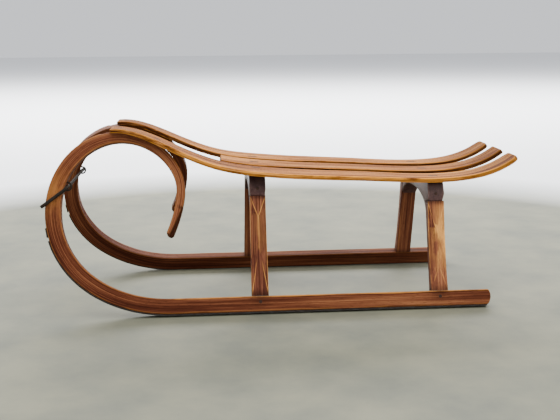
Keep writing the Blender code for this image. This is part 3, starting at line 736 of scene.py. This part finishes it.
def yoke_mesh(name, end, seed):
    """Arched crosspiece; its feet flare to the rear and their ends are chamfered."""
    half = YOKE_WIDTH / 2
    top = yoke_top(end)
    foot = GROUND_LIFT + (LEG_TOP[end] - KNEE_DROP) * cos(LEAN)
    turns = [pi / 2 * k / CORNER_STEPS for k in range(CORNER_STEPS + 1)]
    rims = [(YOKE_ARRIS * (1 - cos(a)), YOKE_ARRIS * (1 - sin(a))) for a in turns]
    front_cut, front_rise = FOOT_FRONT_CHAMFER
    rear_cut, rear_rise = FOOT_REAR_CHAMFER[end]
    stations = [(-half + reach, inset, 1.0) for reach, inset in rims]
    stations += [(-half + front_cut * share, 0.0, 0.0) for share in (0.8, 1.0, 1.2)]
    stations += [(half - rear_cut * share, 0.0, 0.0) for share in (1.2, 1.0, 0.8)]
    stations += [(half - reach, inset, 1.0) for reach, inset in reversed(rims)]
    rings = []
    for offset, inset, edge in stations:
        rise = front_rise * max(0.0, 1 - (offset + half) / front_cut)
        rise += rear_rise * max(0.0, 1 - (half - offset) / rear_cut)
        right = yoke_half_outline(end, rise)
        outline = right + [(-y, z) for y, z in reversed(right[1:])]
        ring = []
        for y, z in moved_in(outline, inset):
            flared = YOKE_FLARE[end] * (offset + half) / YOKE_WIDTH * (top - z) / (top - foot)
            corner = max(edge, 0.6 * (abs(abs(y) - outline[len(right) - 4][0]) < YOKE_ARRIS))
            # Painted shadow along the top, under the slats
            shade_and_dirt = 0.8 * falloff(top - z, 0.006) * (1 - edge)
            point = Vector((LEG_X[end] + offset + flared, y, z))
            ring.append((point, (y + seed, offset, z), corner, shade_and_dirt))
        rings.append(ring)
    return skin(name, rings)


# Slats

def slat_screw_sites(fan):
    """Place (x, across) of each screw through a slat."""
    sites = []
    for end, leg_x in LEG_X.items():
        for x in (leg_x - SLAT_SCREW_SPREAD, leg_x + SLAT_SCREW_SPREAD):
            sites.append((x, fan * SLAT_SCREW_Y[end] - slat_centre(x, fan)))
    if fan:
        for x in LOOP_SCREW_X:
            sites.append((x, loop_screw(x, fan)[0].y - slat_centre(x, fan)))
    return sites


def slat_stations(front_x, rear_corner, sites):
    """Where a slat has rings: closely at its ends and screws, evenly between."""
    xs = set()
    for end_x, inward, radius in ((front_x, 1, SLAT_CORNER["front"]), (SLAT_REAR_X, -1, rear_corner)):
        for k in range(SLAT_END_STEPS + 1):
            xs.add(round(end_x + inward * radius * (1 - cos(pi / 2 * k / SLAT_END_STEPS)), 6))
    low = front_x + SLAT_CORNER["front"]
    high = SLAT_REAR_X - rear_corner
    for x, _ in sites:
        xs |= {round(x + k * DISH_GRID, 6) for k in range(-STAIN_STEPS, STAIN_STEPS + 1)}
    steps = int((high - low) / SLAT_STEP)
    for i in range(1, steps):
        x = low + (high - low) * i / steps
        if all(abs(x - site) > (STAIN_STEPS + 1) * DISH_GRID for site, _ in sites):
            xs.add(round(x, 6))
    ordered = sorted(xs)
    kept = [ordered[0]]
    for x in ordered[1:]:
        if x - kept[-1] > DISH_GRID * 0.2:
            kept.append(x)
    kept[-1] = SLAT_REAR_X
    return kept


def slat_half_width(x, front_x, rear_corner):
    """Half of a slat's width, which its rounded corners draw in."""
    inset = 0.0
    for distance, radius in ((x - front_x, SLAT_CORNER["front"]), (SLAT_REAR_X - x, rear_corner)):
        if distance < radius:
            inset = radius - sqrt(max(0.0, radius ** 2 - (radius - distance) ** 2))
    return curve_at(WIDTH_CURVE, x)[0] / 2 - inset


def slat_side_marks(x, outer, lower):
    """Wear and painted shade of a slat's side: bare on the outer side, with painted shade on the inner
    side, on the lower half and towards the front end.
    """
    if not outer:
        return 0.0, max(SLAT_INNER_PAINTED_SHADE, SLAT_LOWER_SIDE_SHADE * lower)
    # The outer side fades from wear into painted shade towards the front end
    bare = 1 - falloff(x - SLAT_FRONT_X, FRONT_PAINTED_SHADE_REACH)
    return SLAT_OUTER_WEAR * bare, max(0.7 * (1 - bare), SLAT_LOWER_SIDE_SHADE * lower)


def slat_mesh(name, fan, front_x, seed):
    rear_corner = SLAT_CORNER["rear"] if fan else SLAT_CORNER["front"]
    sites = slat_screw_sites(fan)
    low = min(across for _, across in sites) - STAIN_STEPS * DISH_GRID
    high = max(across for _, across in sites) + STAIN_STEPS * DISH_GRID
    grid = np.linspace(low, high, int((high - low) / DISH_GRID) + 1)
    rings = []
    for x in slat_stations(front_x, rear_corner, sites):
        half = slat_half_width(x, front_x, rear_corner)
        thickness = slat_thickness(x)
        end = min(x - front_x, SLAT_REAR_X - x)
        thin = SLAT_ARRIS * max(0.0, 1 - end / SLAT_ARRIS) ** 2
        arris = SLAT_ARRIS * (1 + 0.35 * wobble(x, seed, 22))
        corners = [(-half, thin), (half, thin), (half, thickness - thin), (-half, thickness - thin)]
        squeeze = min(1.0, (half - 0.006) / max(-low, high))
        top = {0: [(across * squeeze, thin) for across in grid]}
        # Painted shade on the top towards the front and rear ends
        painted_end_shade = max(
            REAR_PAINTED_SHADE * falloff(SLAT_REAR_X - x, REAR_PAINTED_SHADE_REACH),
            FRONT_PAINTED_SHADE * falloff(x - SLAT_FRONT_X, FRONT_PAINTED_SHADE_REACH))
        ring = []
        for across, depth, edge in rounded_section(corners, [arris] * 4, SLAT_WEAR_WIDTH, top):
            edge = max(edge, falloff(end, 0.006))
            near = min(sqrt((x - sx) ** 2 + (across - sy) ** 2) for sx, sy in sites)
            shade_and_dirt = 0.0
            if depth > arris * 0.8 and abs(across) > half - 0.0001:
                edge, shade_and_dirt = slat_side_marks(x, across * fan > 0, depth > thickness / 2)
            elif across * fan < half - SLAT_ARRIS * 2.2:
                edge *= SLAT_INNER_WEAR
            if end < 0.0012 and edge < 1.0:
                shade_and_dirt = END_GRIME
            if depth < thickness / 2:
                depth += DISH_DEPTH * falloff(near, DISH_RADIUS * 1.25)
                shade_and_dirt = max(shade_and_dirt, min(0.95, 2.2 * falloff(near, STAIN_RADIUS)), painted_end_shade)
            ring.append((slat_point(x, across, depth, fan), (x + seed, across, depth), edge, shade_and_dirt))
        rings.append(ring)
    return skin(name, rings)


# Screws

def loop_screw(x, fan):
    """A screw through an outer slat into the middle of the runner's loop."""
    z, slope = seat_line(x)
    t = (seat_underside(x) - GROUND_LIFT) / cos(LEAN)
    return Vector((x, fan * (HALF_TRACK - t * sin(LEAN)), z)), Vector((-slope, 0, 1)).normalized()


def screw_sites():
    """Every screw as name: (origin, outward axis, length)."""
    sites = {}
    for slat, fan in FANS.items():
        for end, leg_x in LEG_X.items():
            for number, offset in enumerate((-SLAT_SCREW_SPREAD, SLAT_SCREW_SPREAD), start=1):
                z, slope = seat_line(leg_x + offset)
                origin = Vector((leg_x + offset, fan * SLAT_SCREW_Y[end], z))
                axis = Vector((-slope, 0, 1)).normalized()
                sites[f"screw_{slat}_{end}_{number}"] = (origin, axis, SLAT_SCREW_LENGTH)
        if fan:
            for number, x in enumerate(LOOP_SCREW_X, start=1):
                sites[f"screw_{slat}_loop_{number}"] = (*loop_screw(x, fan), LOOP_SCREW_LENGTH)
    for name, side in SIDES.items():
        for number, x in enumerate(SHOE_SCREW_X, start=1):
            origin = frame_point(x, -GAP - SHOE_THICKNESS, 0, side)
            axis = frame_axis(0, -1, 0, side)
            sites[f"shoe_screw_{name}_{number}"] = (origin, axis, SHOE_SCREW_LENGTH)
        headings = enumerate((*SHOE_SCREW_HEADINGS, TAB_SCREW_HEADING), start=len(SHOE_SCREW_X) + 1)
        for number, heading in headings:
            origin = rim_point(heading, -GAP - SHOE_THICKNESS, 0, side)
            axis = frame_axis(-sin(heading), -cos(heading), 0, side)
            tab = heading == TAB_SCREW_HEADING
            screw = f"shoe_tab_screw_{name}" if tab else f"shoe_screw_{name}_{number}"
            sites[screw] = (origin, axis, SHOE_SCREW_LENGTH)
    return sites


def screw_mesh(length, sunk):
    """Slotted countersunk screw; its head lies a little below z = 0."""
    rim = SCREW_RIM
    profile = [
        (SCREW_SHANK * 0.3, -length, 0.0), (SCREW_SHANK, -length * 0.8, 0.0),
        (SCREW_SHANK, -SCREW_HEAD_DEPTH - sunk, 0.0), (SCREW_HEAD, -sunk - rim * 1.5, 0.6),
        (SCREW_HEAD, -sunk - rim * 0.5, 1.0), (SCREW_HEAD - rim, -sunk, 1.0),
        (SCREW_HEAD * 0.6, -sunk, 0.3),
    ]
    head = new_object("screw", turned_mesh("screw", profile, SCREW_SIDES))
    bm = bmesh.new()
    bmesh.ops.create_cube(bm, size=1.0)
    size = Vector((SCREW_HEAD * 4, SCREW_SLOT_WIDTH, SCREW_SLOT_DEPTH * 2))
    bmesh.ops.scale(bm, vec=size, verts=bm.verts)
    bmesh.ops.translate(bm, vec=(0, 0, -sunk), verts=bm.verts)
    slot_mesh = bpy.data.meshes.new("slot")
    bm.to_mesh(slot_mesh)
    bm.free()
    slot = new_object("slot", slot_mesh)
    modifier = head.modifiers.new("slot", "BOOLEAN")
    modifier.operation = "DIFFERENCE"
    modifier.solver = "EXACT"
    modifier.object = slot
    depsgraph = bpy.context.evaluated_depsgraph_get()
    cut = bpy.data.meshes.new_from_object(head.evaluated_get(depsgraph))
    cut.name = "screw"
    bpy.data.objects.remove(head)
    bpy.data.objects.remove(slot)
    return cut


# Ironwork

def rod_centre(side):
    """Middle of the rod where it passes a runner's middle, just inside the bend."""
    depth = runner_depth(ROD_HEADING) + ROD_CAD_RADIUS / cos(LEAN) + ROD_PLAY
    return rim_point(ROD_HEADING, depth, 0, side)


def rod_bend(corner, before, after):
    """Rounded corner of the rod."""
    into = (corner - before).normalized()
    out = (after - corner).normalized()
    return corner_arc(corner, into, out, ROD_BEND * tan(into.angle(out) / 2), ARC_STEPS // 2)


def even_points(points, step):
    """Points at even steps along a line, and how far along it each lies."""
    lengths = [0.0]
    for before, here in zip(points, points[1:]):
        lengths.append(lengths[-1] + (here - before).length)
    count = max(2, int(lengths[-1] / step))
    spots = np.linspace(0, lengths[-1], count + 1)
    axes = [np.interp(spots, lengths, [p[i] for p in points]) for i in range(3)]
    return [Vector(p) for p in zip(*axes)], spots


def bar_mesh(name, points, radius_at, sides, step):
    """Forged bar along a line, with domed ends; radius_at gives its radius by length."""
    spine, spots = even_points(points, step)
    rings = []
    normal = (spine[1] - spine[0]).orthogonal().normalized()
    last = len(spine) - 1
    for i, (point, spot) in enumerate(zip(spine, spots)):
        ahead = (spine[min(i + 1, last)] - spine[max(i - 1, 0)]).normalized()
        normal = (normal - ahead * normal.dot(ahead)).normalized()
        other = ahead.cross(normal)
        radius = radius_at(spot, spots[-1])
        dome = BAR_DOME if i == last else BAR_DOME[:1]
        if i == 0:
            dome = [(-forward, share) for forward, share in reversed(BAR_DOME)]
        for forward, share in dome:
            ring = []
            for k in range(sides):
                angle = 2 * pi * k / sides
                spread = radius * share * (1 + 0.03 * wobble(spot, k * 0.1, 90))
                offset = (normal * cos(angle) + other * sin(angle)) * spread
                place = point + ahead * forward * radius + offset
                ring.append((place, (spot, radius * cos(angle), radius * sin(angle)), 0.0, 0.0))
            rings.append(ring)
    return skin(name, rings)


def rod_mesh():
    """Rod across the bend, its ends turned forward over the runners' outer faces."""
    arms = []
    for side in SIDES.values():
        middle = rod_centre(side)
        n = HALF_THICKNESS + ROD_CAD_RADIUS + ROD_FACE_GAP
        t = (middle.z - GROUND_LIFT - n * sin(LEAN)) / cos(LEAN)
        elbow = frame_point(middle.x, t, n, side)
        reach = ROD_ARM - ROD_RADIUS * 0.5
        tip = elbow + frame_axis(-reach * cos(ROD_ARM_DROP), -reach * sin(ROD_ARM_DROP), 0, side)
        arms.append((tip, elbow))
    (left_tip, left_elbow), (right_tip, right_elbow) = arms
    points = [left_tip, *rod_bend(left_elbow, left_tip, right_elbow)]
    points += [*rod_bend(right_elbow, left_elbow, right_tip), right_tip]

    def radius_at(spot, length):
        from_end = min(spot, length - spot)
        thin = 1 - falloff(max(0.0, from_end - ROD_ARM), 0.03)
        return ROD_RADIUS + (ROD_MIDDLE_RADIUS - ROD_RADIUS) * thin

    return bar_mesh("cross_rod", points, radius_at, ROD_SIDES, ROD_STEP)


def staple_mesh(name, side):
    """Round staple over the rod, with both legs driven into the runner."""
    centre = rod_centre(side)
    inward = frame_axis(sin(ROD_HEADING), cos(ROD_HEADING), 0, side)
    along = frame_axis(-cos(ROD_HEADING), sin(ROD_HEADING), 0, side)
    points = [centre + along * STAPLE_HALF_SPAN - inward * STAPLE_ROOT]
    for i in range(ARC_STEPS + 1):
        angle = pi * i / ARC_STEPS
        over = inward * STAPLE_REACH * sin(angle)
        points.append(centre + along * STAPLE_HALF_SPAN * cos(angle) + over)
    points.append(centre - along * STAPLE_HALF_SPAN - inward * STAPLE_ROOT)
    return bar_mesh(name, points, lambda spot, length: STAPLE_RADIUS, STAPLE_SIDES, STAPLE_STEP)


# Materials

def set_inputs(node, inputs):
    """Set each input of a node to a value, or join it to a socket."""
    for key, value in inputs.items():
        if isinstance(value, bpy.types.NodeSocket):
            node.id_data.links.new(value, node.inputs[key])
        else:
            node.inputs[key].default_value = value


def add_node(tree, kind, inputs, **settings):
    node = tree.nodes.new(kind)
    for name, value in settings.items():
        setattr(node, name, value)
    set_inputs(node, inputs)
    return node


def attribute(tree, name, output="Fac"):
    node = add_node(tree, "ShaderNodeAttribute", {}, attribute_type="GEOMETRY", attribute_name=name)
    return node.outputs[output]


def noise_value(tree, vector, scale, detail, roughness, distortion=0.0):
    """Noise of a vector stretched by three scales."""
    mapping = add_node(tree, "ShaderNodeMapping", {"Vector": vector, "Scale": scale})
    inputs = {
        "Vector": mapping.outputs[0], "Scale": 1.0, "Detail": detail,
        "Roughness": roughness, "Distortion": distortion,
    }
    return add_node(tree, "ShaderNodeTexNoise", inputs).outputs["Fac"]


def stretch(tree, value, low, high, to_low=0.0, to_high=1.0):
    """Value from one range to another, clamped."""
    inputs = {"Value": value, "From Min": low, "From Max": high, "To Min": to_low, "To Max": to_high}
    return add_node(tree, "ShaderNodeMapRange", inputs, clamp=True).outputs["Result"]


def maths(tree, operation, first, second):
    return add_node(tree, "ShaderNodeMath", {0: first, 1: second}, operation=operation).outputs[0]


def ramp(tree, value, stops):
    """Colour ramp with stops of (place, colour)."""
    node = add_node(tree, "ShaderNodeValToRGB", {"Fac": value})
    elements = node.color_ramp.elements
    while len(elements) < len(stops):
        elements.new(0.5)
    for element, (place, colour) in zip(elements, stops):
        element.position = place
        element.color = (*colour, 1.0)
    return node.outputs["Color"]


def mix_colour(tree, factor, first, second):
    """Mix of two colours, each a socket or a plain (red, green, blue)."""
    inputs = {0: factor}
    for key, colour in ((6, first), (7, second)):
        inputs[key] = (*colour, 1.0) if isinstance(colour, tuple) else colour
    return add_node(tree, "ShaderNodeMix", inputs, data_type="RGBA", clamp_factor=True).outputs[2]


def new_material(name):
    material = bpy.data.materials.new(name)
    material.use_nodes = True
    tree = material.node_tree
    return material, tree, tree.nodes["Principled BSDF"]


def bump(tree, height, strength):
    inputs = {"Height": height, "Strength": strength, "Distance": BUMP_DEPTH}
    return add_node(tree, "ShaderNodeBump", inputs).outputs["Normal"]


def wood(name, tones, worn, dark_tone, gloss, streaks, contrast=0.17, wear_start=0.34, shine=0.14):
    """Varnished wood: dark lines and pores along the grain, worn arrises (painted light on the legs'
    faces), dirt and painted shade.
    """
    material, tree, shader = new_material(name)
    grain = attribute(tree, "grain", "Vector")
    edge = attribute(tree, "edge")
    shade_and_dirt = attribute(tree, "shade_and_dirt")
    along, across, deep = streaks
    streak = noise_value(tree, grain, (along, across, deep), 3.0, 0.6, 0.1)
    fine = noise_value(tree, grain, (along * 5, across * 3.5, deep * 3.5), 3.0, 0.6)
    broad = noise_value(tree, grain, (2.6, 26.0, 26.0), 2.0, 0.5)
    patches = noise_value(tree, grain, (16.0, 45.0, 45.0), 4.0, 0.6)
    pores = noise_value(tree, grain, (70.0, 1700.0, 1700.0), 2.0, 0.5)

    tone = stretch(tree, streak, 0.5 - contrast, 0.5 + contrast, 0.04, 0.72)
    tone = maths(tree, "ADD", tone, stretch(tree, fine, 0.3, 0.7, -0.14, 0.14))
    tone = maths(tree, "ADD", tone, stretch(tree, broad, 0.3, 0.7, -0.12, 0.30))
    colour = ramp(tree, tone, tones)
    pore = stretch(tree, pores, 0.58, 0.70)
    colour = mix_colour(tree, maths(tree, "MULTIPLY", pore, 0.6), colour, dark_tone)

    lost = maths(tree, "MULTIPLY", edge, stretch(tree, patches, wear_start, wear_start + 0.2))
    lost = maths(tree, "MULTIPLY", lost, stretch(tree, fine, 0.3, 0.6, 0.45, 1.0))
    colour = mix_colour(tree, lost, colour, worn)
    # Dirt and painted shade: darkens towards the dark tone wherever the vertex mark asks for it
    dirt_shade_amount = maths(tree, "MULTIPLY", shade_and_dirt, stretch(tree, patches, 0.2, 0.6, 0.6, 1.0))

    height = maths(tree, "MULTIPLY", fine, 0.5)
    height = maths(tree, "SUBTRACT", height, maths(tree, "MULTIPLY", pore, 0.6))
    height = maths(tree, "ADD", height, maths(tree, "MULTIPLY", streak, 0.6))
    set_inputs(shader, {
        "Base Color": mix_colour(tree, dirt_shade_amount, colour, dark_tone),
        "Roughness": stretch(tree, patches, 0.3, 0.7, gloss - 0.06, gloss + 0.10),
        "Specular IOR Level": shine,
        "Normal": bump(tree, height, 0.6),
    })
    return name, material


def iron(name, dark, rust, bright, gloss, bright_edges, metal=0.40):
    """Blackened iron with rust, polished where it rubs."""
    material, tree, shader = new_material(name)
    grain = attribute(tree, "grain", "Vector")
    edge = attribute(tree, "edge")
    mottle = noise_value(tree, grain, (90.0, 260.0, 260.0), 5.0, 0.65)
    pits = noise_value(tree, grain, (700.0, 1400.0, 1400.0), 3.0, 0.6)
    colour = ramp(tree, mottle, ((0.38, dark), (0.62, rust)))
    rubbed = stretch(tree, mottle, 0.35, 0.6, bright_edges, bright_edges * 0.35)
    set_inputs(shader, {
        "Base Color": mix_colour(tree, maths(tree, "MULTIPLY", edge, rubbed), colour, bright),
        "Metallic": stretch(tree, mottle, 0.42, 0.62, metal, metal * 0.4),
        "Roughness": stretch(tree, mottle, 0.35, 0.65, gloss, gloss + 0.25),
        "Specular IOR Level": metal * 0.3,
        "Normal": bump(tree, maths(tree, "ADD", mottle, pits), 0.55),
    })
    return name, material


BUMP_DEPTH = 0.0004
BEECH_DARK_TONE = (0.01, 0.0035, 0.002)
# The legs are of the runners' wood, more worn
SLOTS = {"leg_beech": "bent_beech"}


def make_materials():
    """Slot and material by name."""
    beech_tones = (
        (0.05, (0.022, 0.0052, 0.003)), (0.35, (0.078, 0.0215, 0.0105)),
        (0.62, (0.165, 0.053, 0.024)), (0.92, (0.315, 0.128, 0.052)),
    )
    leg_tones = (
        (0.05, (0.034, 0.0085, 0.0052)), (0.35, (0.12, 0.036, 0.02)),
        (0.62, (0.24, 0.082, 0.04)), (0.92, (0.45, 0.185, 0.072)),
    )
    ash_tones = (
        (0.1, (0.03, 0.007, 0.0024)), (0.32, (0.15, 0.042, 0.01)),
        (0.6, (0.35, 0.123, 0.026)), (0.92, (0.68, 0.31, 0.085)),
    )
    yoke_tones = (
        (0.1, (0.03, 0.012, 0.0105)), (0.5, (0.055, 0.0235, 0.02)),
        (0.9, (0.1, 0.048, 0.042)),
    )
    peg_tones = ((0.2, (0.01, 0.0045, 0.003)), (0.8, (0.036, 0.016, 0.009)))
    looks = (
        wood("bent_beech", beech_tones, (0.48, 0.195, 0.042), BEECH_DARK_TONE, 0.46,
             (3.2, 600.0, 520.0), contrast=0.21, shine=0.02),
        wood("leg_beech", leg_tones, (0.8, 0.37, 0.085), BEECH_DARK_TONE, 0.46,
             (3.6, 300.0, 300.0), contrast=0.22, shine=0.05),
        wood("seat_ash", ash_tones, (0.82, 0.33, 0.042), (0.016, 0.005, 0.0025), 0.5,
             (3.0, 380.0, 380.0), contrast=0.12, wear_start=0.36, shine=0.009),
        wood("stained_yoke", yoke_tones, (0.13, 0.075, 0.06), (0.008, 0.0045, 0.0036), 0.42,
             (6.0, 110.0, 110.0), contrast=0.3),
        wood("dark_peg", peg_tones, (0.05, 0.023, 0.012), (0.006, 0.003, 0.002), 0.6,
             (40.0, 900.0, 900.0)),
        iron("shoe_steel", (0.006, 0.005, 0.0045), (0.014, 0.008, 0.005),
             (0.26, 0.24, 0.22), 0.62, 0.7),
        iron("wrought_iron", (0.015, 0.014, 0.012), (0.03, 0.022, 0.016),
             (0.2, 0.18, 0.16), 0.6, 0.3, metal=0.1),
        iron("screw_steel", (0.034, 0.028, 0.024), (0.05, 0.027, 0.016),
             (0.24, 0.21, 0.18), 0.46, 0.4),
    )
    return {name: (SLOTS.get(name, name), material) for name, material in looks}


# Assembly

CRISP = radians(30)


def build_pieces(looks):
    for index, (name, side) in enumerate(SIDES.items()):
        node = f"runner_{name}"
        add_piece(node, runner_mesh(node, side, 3.1 + 2.7 * index), looks["bent_beech"])
        for node, mesh in ((f"shoe_{name}", shoe_mesh), (f"shoe_tab_{name}", tab_mesh)):
            add_piece(node, mesh(node, side), looks["shoe_steel"])
        node = f"rod_staple_{name}"
        add_piece(node, staple_mesh(node, side), looks["wrought_iron"])
        for place, end in enumerate(LEG_X):
            node = f"leg_{end}_{name}"
            seed = 11.3 + 1.9 * index + 3.7 * place
            add_piece(node, leg_mesh(node, end, side, seed), looks["leg_beech"])
    add_piece("cross_rod", rod_mesh(), looks["wrought_iron"])
    for index, end in enumerate(LEG_X):
        node = f"yoke_{end}"
        add_piece(node, yoke_mesh(node, end, 21.0 + index), looks["stained_yoke"], CRISP)
    for name, fan in FANS.items():
        node = f"slat_{name}"
        front_x = SLAT_FRONT_X if fan else SLAT_MIDDLE_X
        add_piece(node, slat_mesh(node, fan, front_x, 31.0 + 2.3 * fan), looks["seat_ash"])


def build_fasteners(looks):
    turns = random.Random(4)
    peg = peg_mesh()
    for end in LEG_X:
        for name, side in SIDES.items():
            for tenon in ("foot", "head"):
                matrix = standing_on(*peg_site(tenon, end, side), turns.uniform(0, pi))
                add_piece(f"{tenon}_peg_{end}_{name}", peg, looks["dark_peg"], matrix=matrix)
    meshes = {}
    for name, (origin, axis, length) in screw_sites().items():
        if length not in meshes:
            sunk = SHOE_SCREW_SUNK if length == SHOE_SCREW_LENGTH else SCREW_SUNK
            meshes[length] = screw_mesh(length, sunk)
        matrix = standing_on(origin, axis, turns.uniform(0, pi))
        add_piece(name, meshes[length], looks["screw_steel"], CRISP, matrix)


# Stage

FLOOR_SIZE = 40.0
FLOOR_TONE = (0.166, 0.164, 0.108)
FLOOR_DARK = (0.104, 0.109, 0.078)
FAR_TONE = (0.78, 0.79, 0.81)
FLOOR_FADE = (1.35, 1.85)
SURROUND_TONE = (0.86, 0.88, 0.92, 1.0)
SURROUND_STRENGTH = 1.05
# Name: (place, target, size, watts, colour)
LIGHTS = {
    "overhead": ((0.2, -0.6, 3.6), (0, 0, 0), (5.0, 4.0), 205, (1.0, 0.99, 0.97)),
    "front": ((2.2, -3.4, 2.2), (0, 0, 0.15), (2.4, 2.0), 75, (1.0, 0.98, 0.95)),
    "behind": ((0, 5.0, 3.2), (0, 5.0, 0), (9.0, 4.0), 1500, (1.0, 1.0, 1.0)),
}


def make_floor():
    """Plain pale floor, lighter away from the sled."""
    bpy.ops.mesh.primitive_plane_add(size=FLOOR_SIZE, location=(0, 0, 0))
    floor = bpy.context.object
    floor.name = "floor"
    material, tree, shader = new_material("floor")
    place = add_node(tree, "ShaderNodeTexCoord", {}).outputs["Object"]
    mottle = noise_value(tree, place, (5.0, 5.0, 5.0), 5.0, 0.6)
    tone = mix_colour(tree, stretch(tree, mottle, 0.35, 0.65), FLOOR_DARK, FLOOR_TONE)
    length = add_node(tree, "ShaderNodeVectorMath", {0: place}, operation="LENGTH").outputs["Value"]
    tone = mix_colour(tree, stretch(tree, length, *FLOOR_FADE), tone, FAR_TONE)
    set_inputs(shader, {"Base Color": tone, "Roughness": 0.75})
    floor.data.materials.append(material)


def make_lights():
    """Soft lights overhead, in front and behind, in a pale surround."""
    for name, (place, target, size, power, colour) in LIGHTS.items():
        light = bpy.data.lights.new(name, "AREA")
        light.shape = "RECTANGLE"
        light.size, light.size_y = size
        light.energy = power
        light.color = colour
        lamp = new_object(name, light)
        lamp.location = place
        lamp.rotation_euler = (Vector(target) - Vector(place)).to_track_quat("-Z", "Y").to_euler()
    world = bpy.data.worlds.new("surround")
    world.use_nodes = True
    background = world.node_tree.nodes["Background"]
    set_inputs(background, {"Color": SURROUND_TONE, "Strength": SURROUND_STRENGTH})
    bpy.context.scene.world = world


def make_camera():
    """Camera at the photograph's viewing angle."""
    level = cos(CAMERA_PITCH)
    forward = Vector((sin(CAMERA_YAW) * level, cos(CAMERA_YAW) * level, -sin(CAMERA_PITCH)))
    right = Vector((cos(CAMERA_YAW), -sin(CAMERA_YAW), 0))
    up = right.cross(forward)
    rolled_right = right * cos(CAMERA_ROLL) + up * sin(CAMERA_ROLL)
    rolled_up = up * cos(CAMERA_ROLL) - right * sin(CAMERA_ROLL)
    data = bpy.data.cameras.new("camera")
    data.sensor_width = SENSOR_WIDTH
    data.lens = CAMERA_LENS
    camera = new_object("camera", data)
    turn = Matrix((rolled_right, rolled_up, -forward)).transposed().to_4x4()
    camera.matrix_world = Matrix.Translation(CAMERA_POSITION) @ turn
    bpy.context.scene.camera = camera


make_camera()
made_looks = make_materials()
build_pieces(made_looks)
build_fasteners(made_looks)
make_floor()
make_lights()
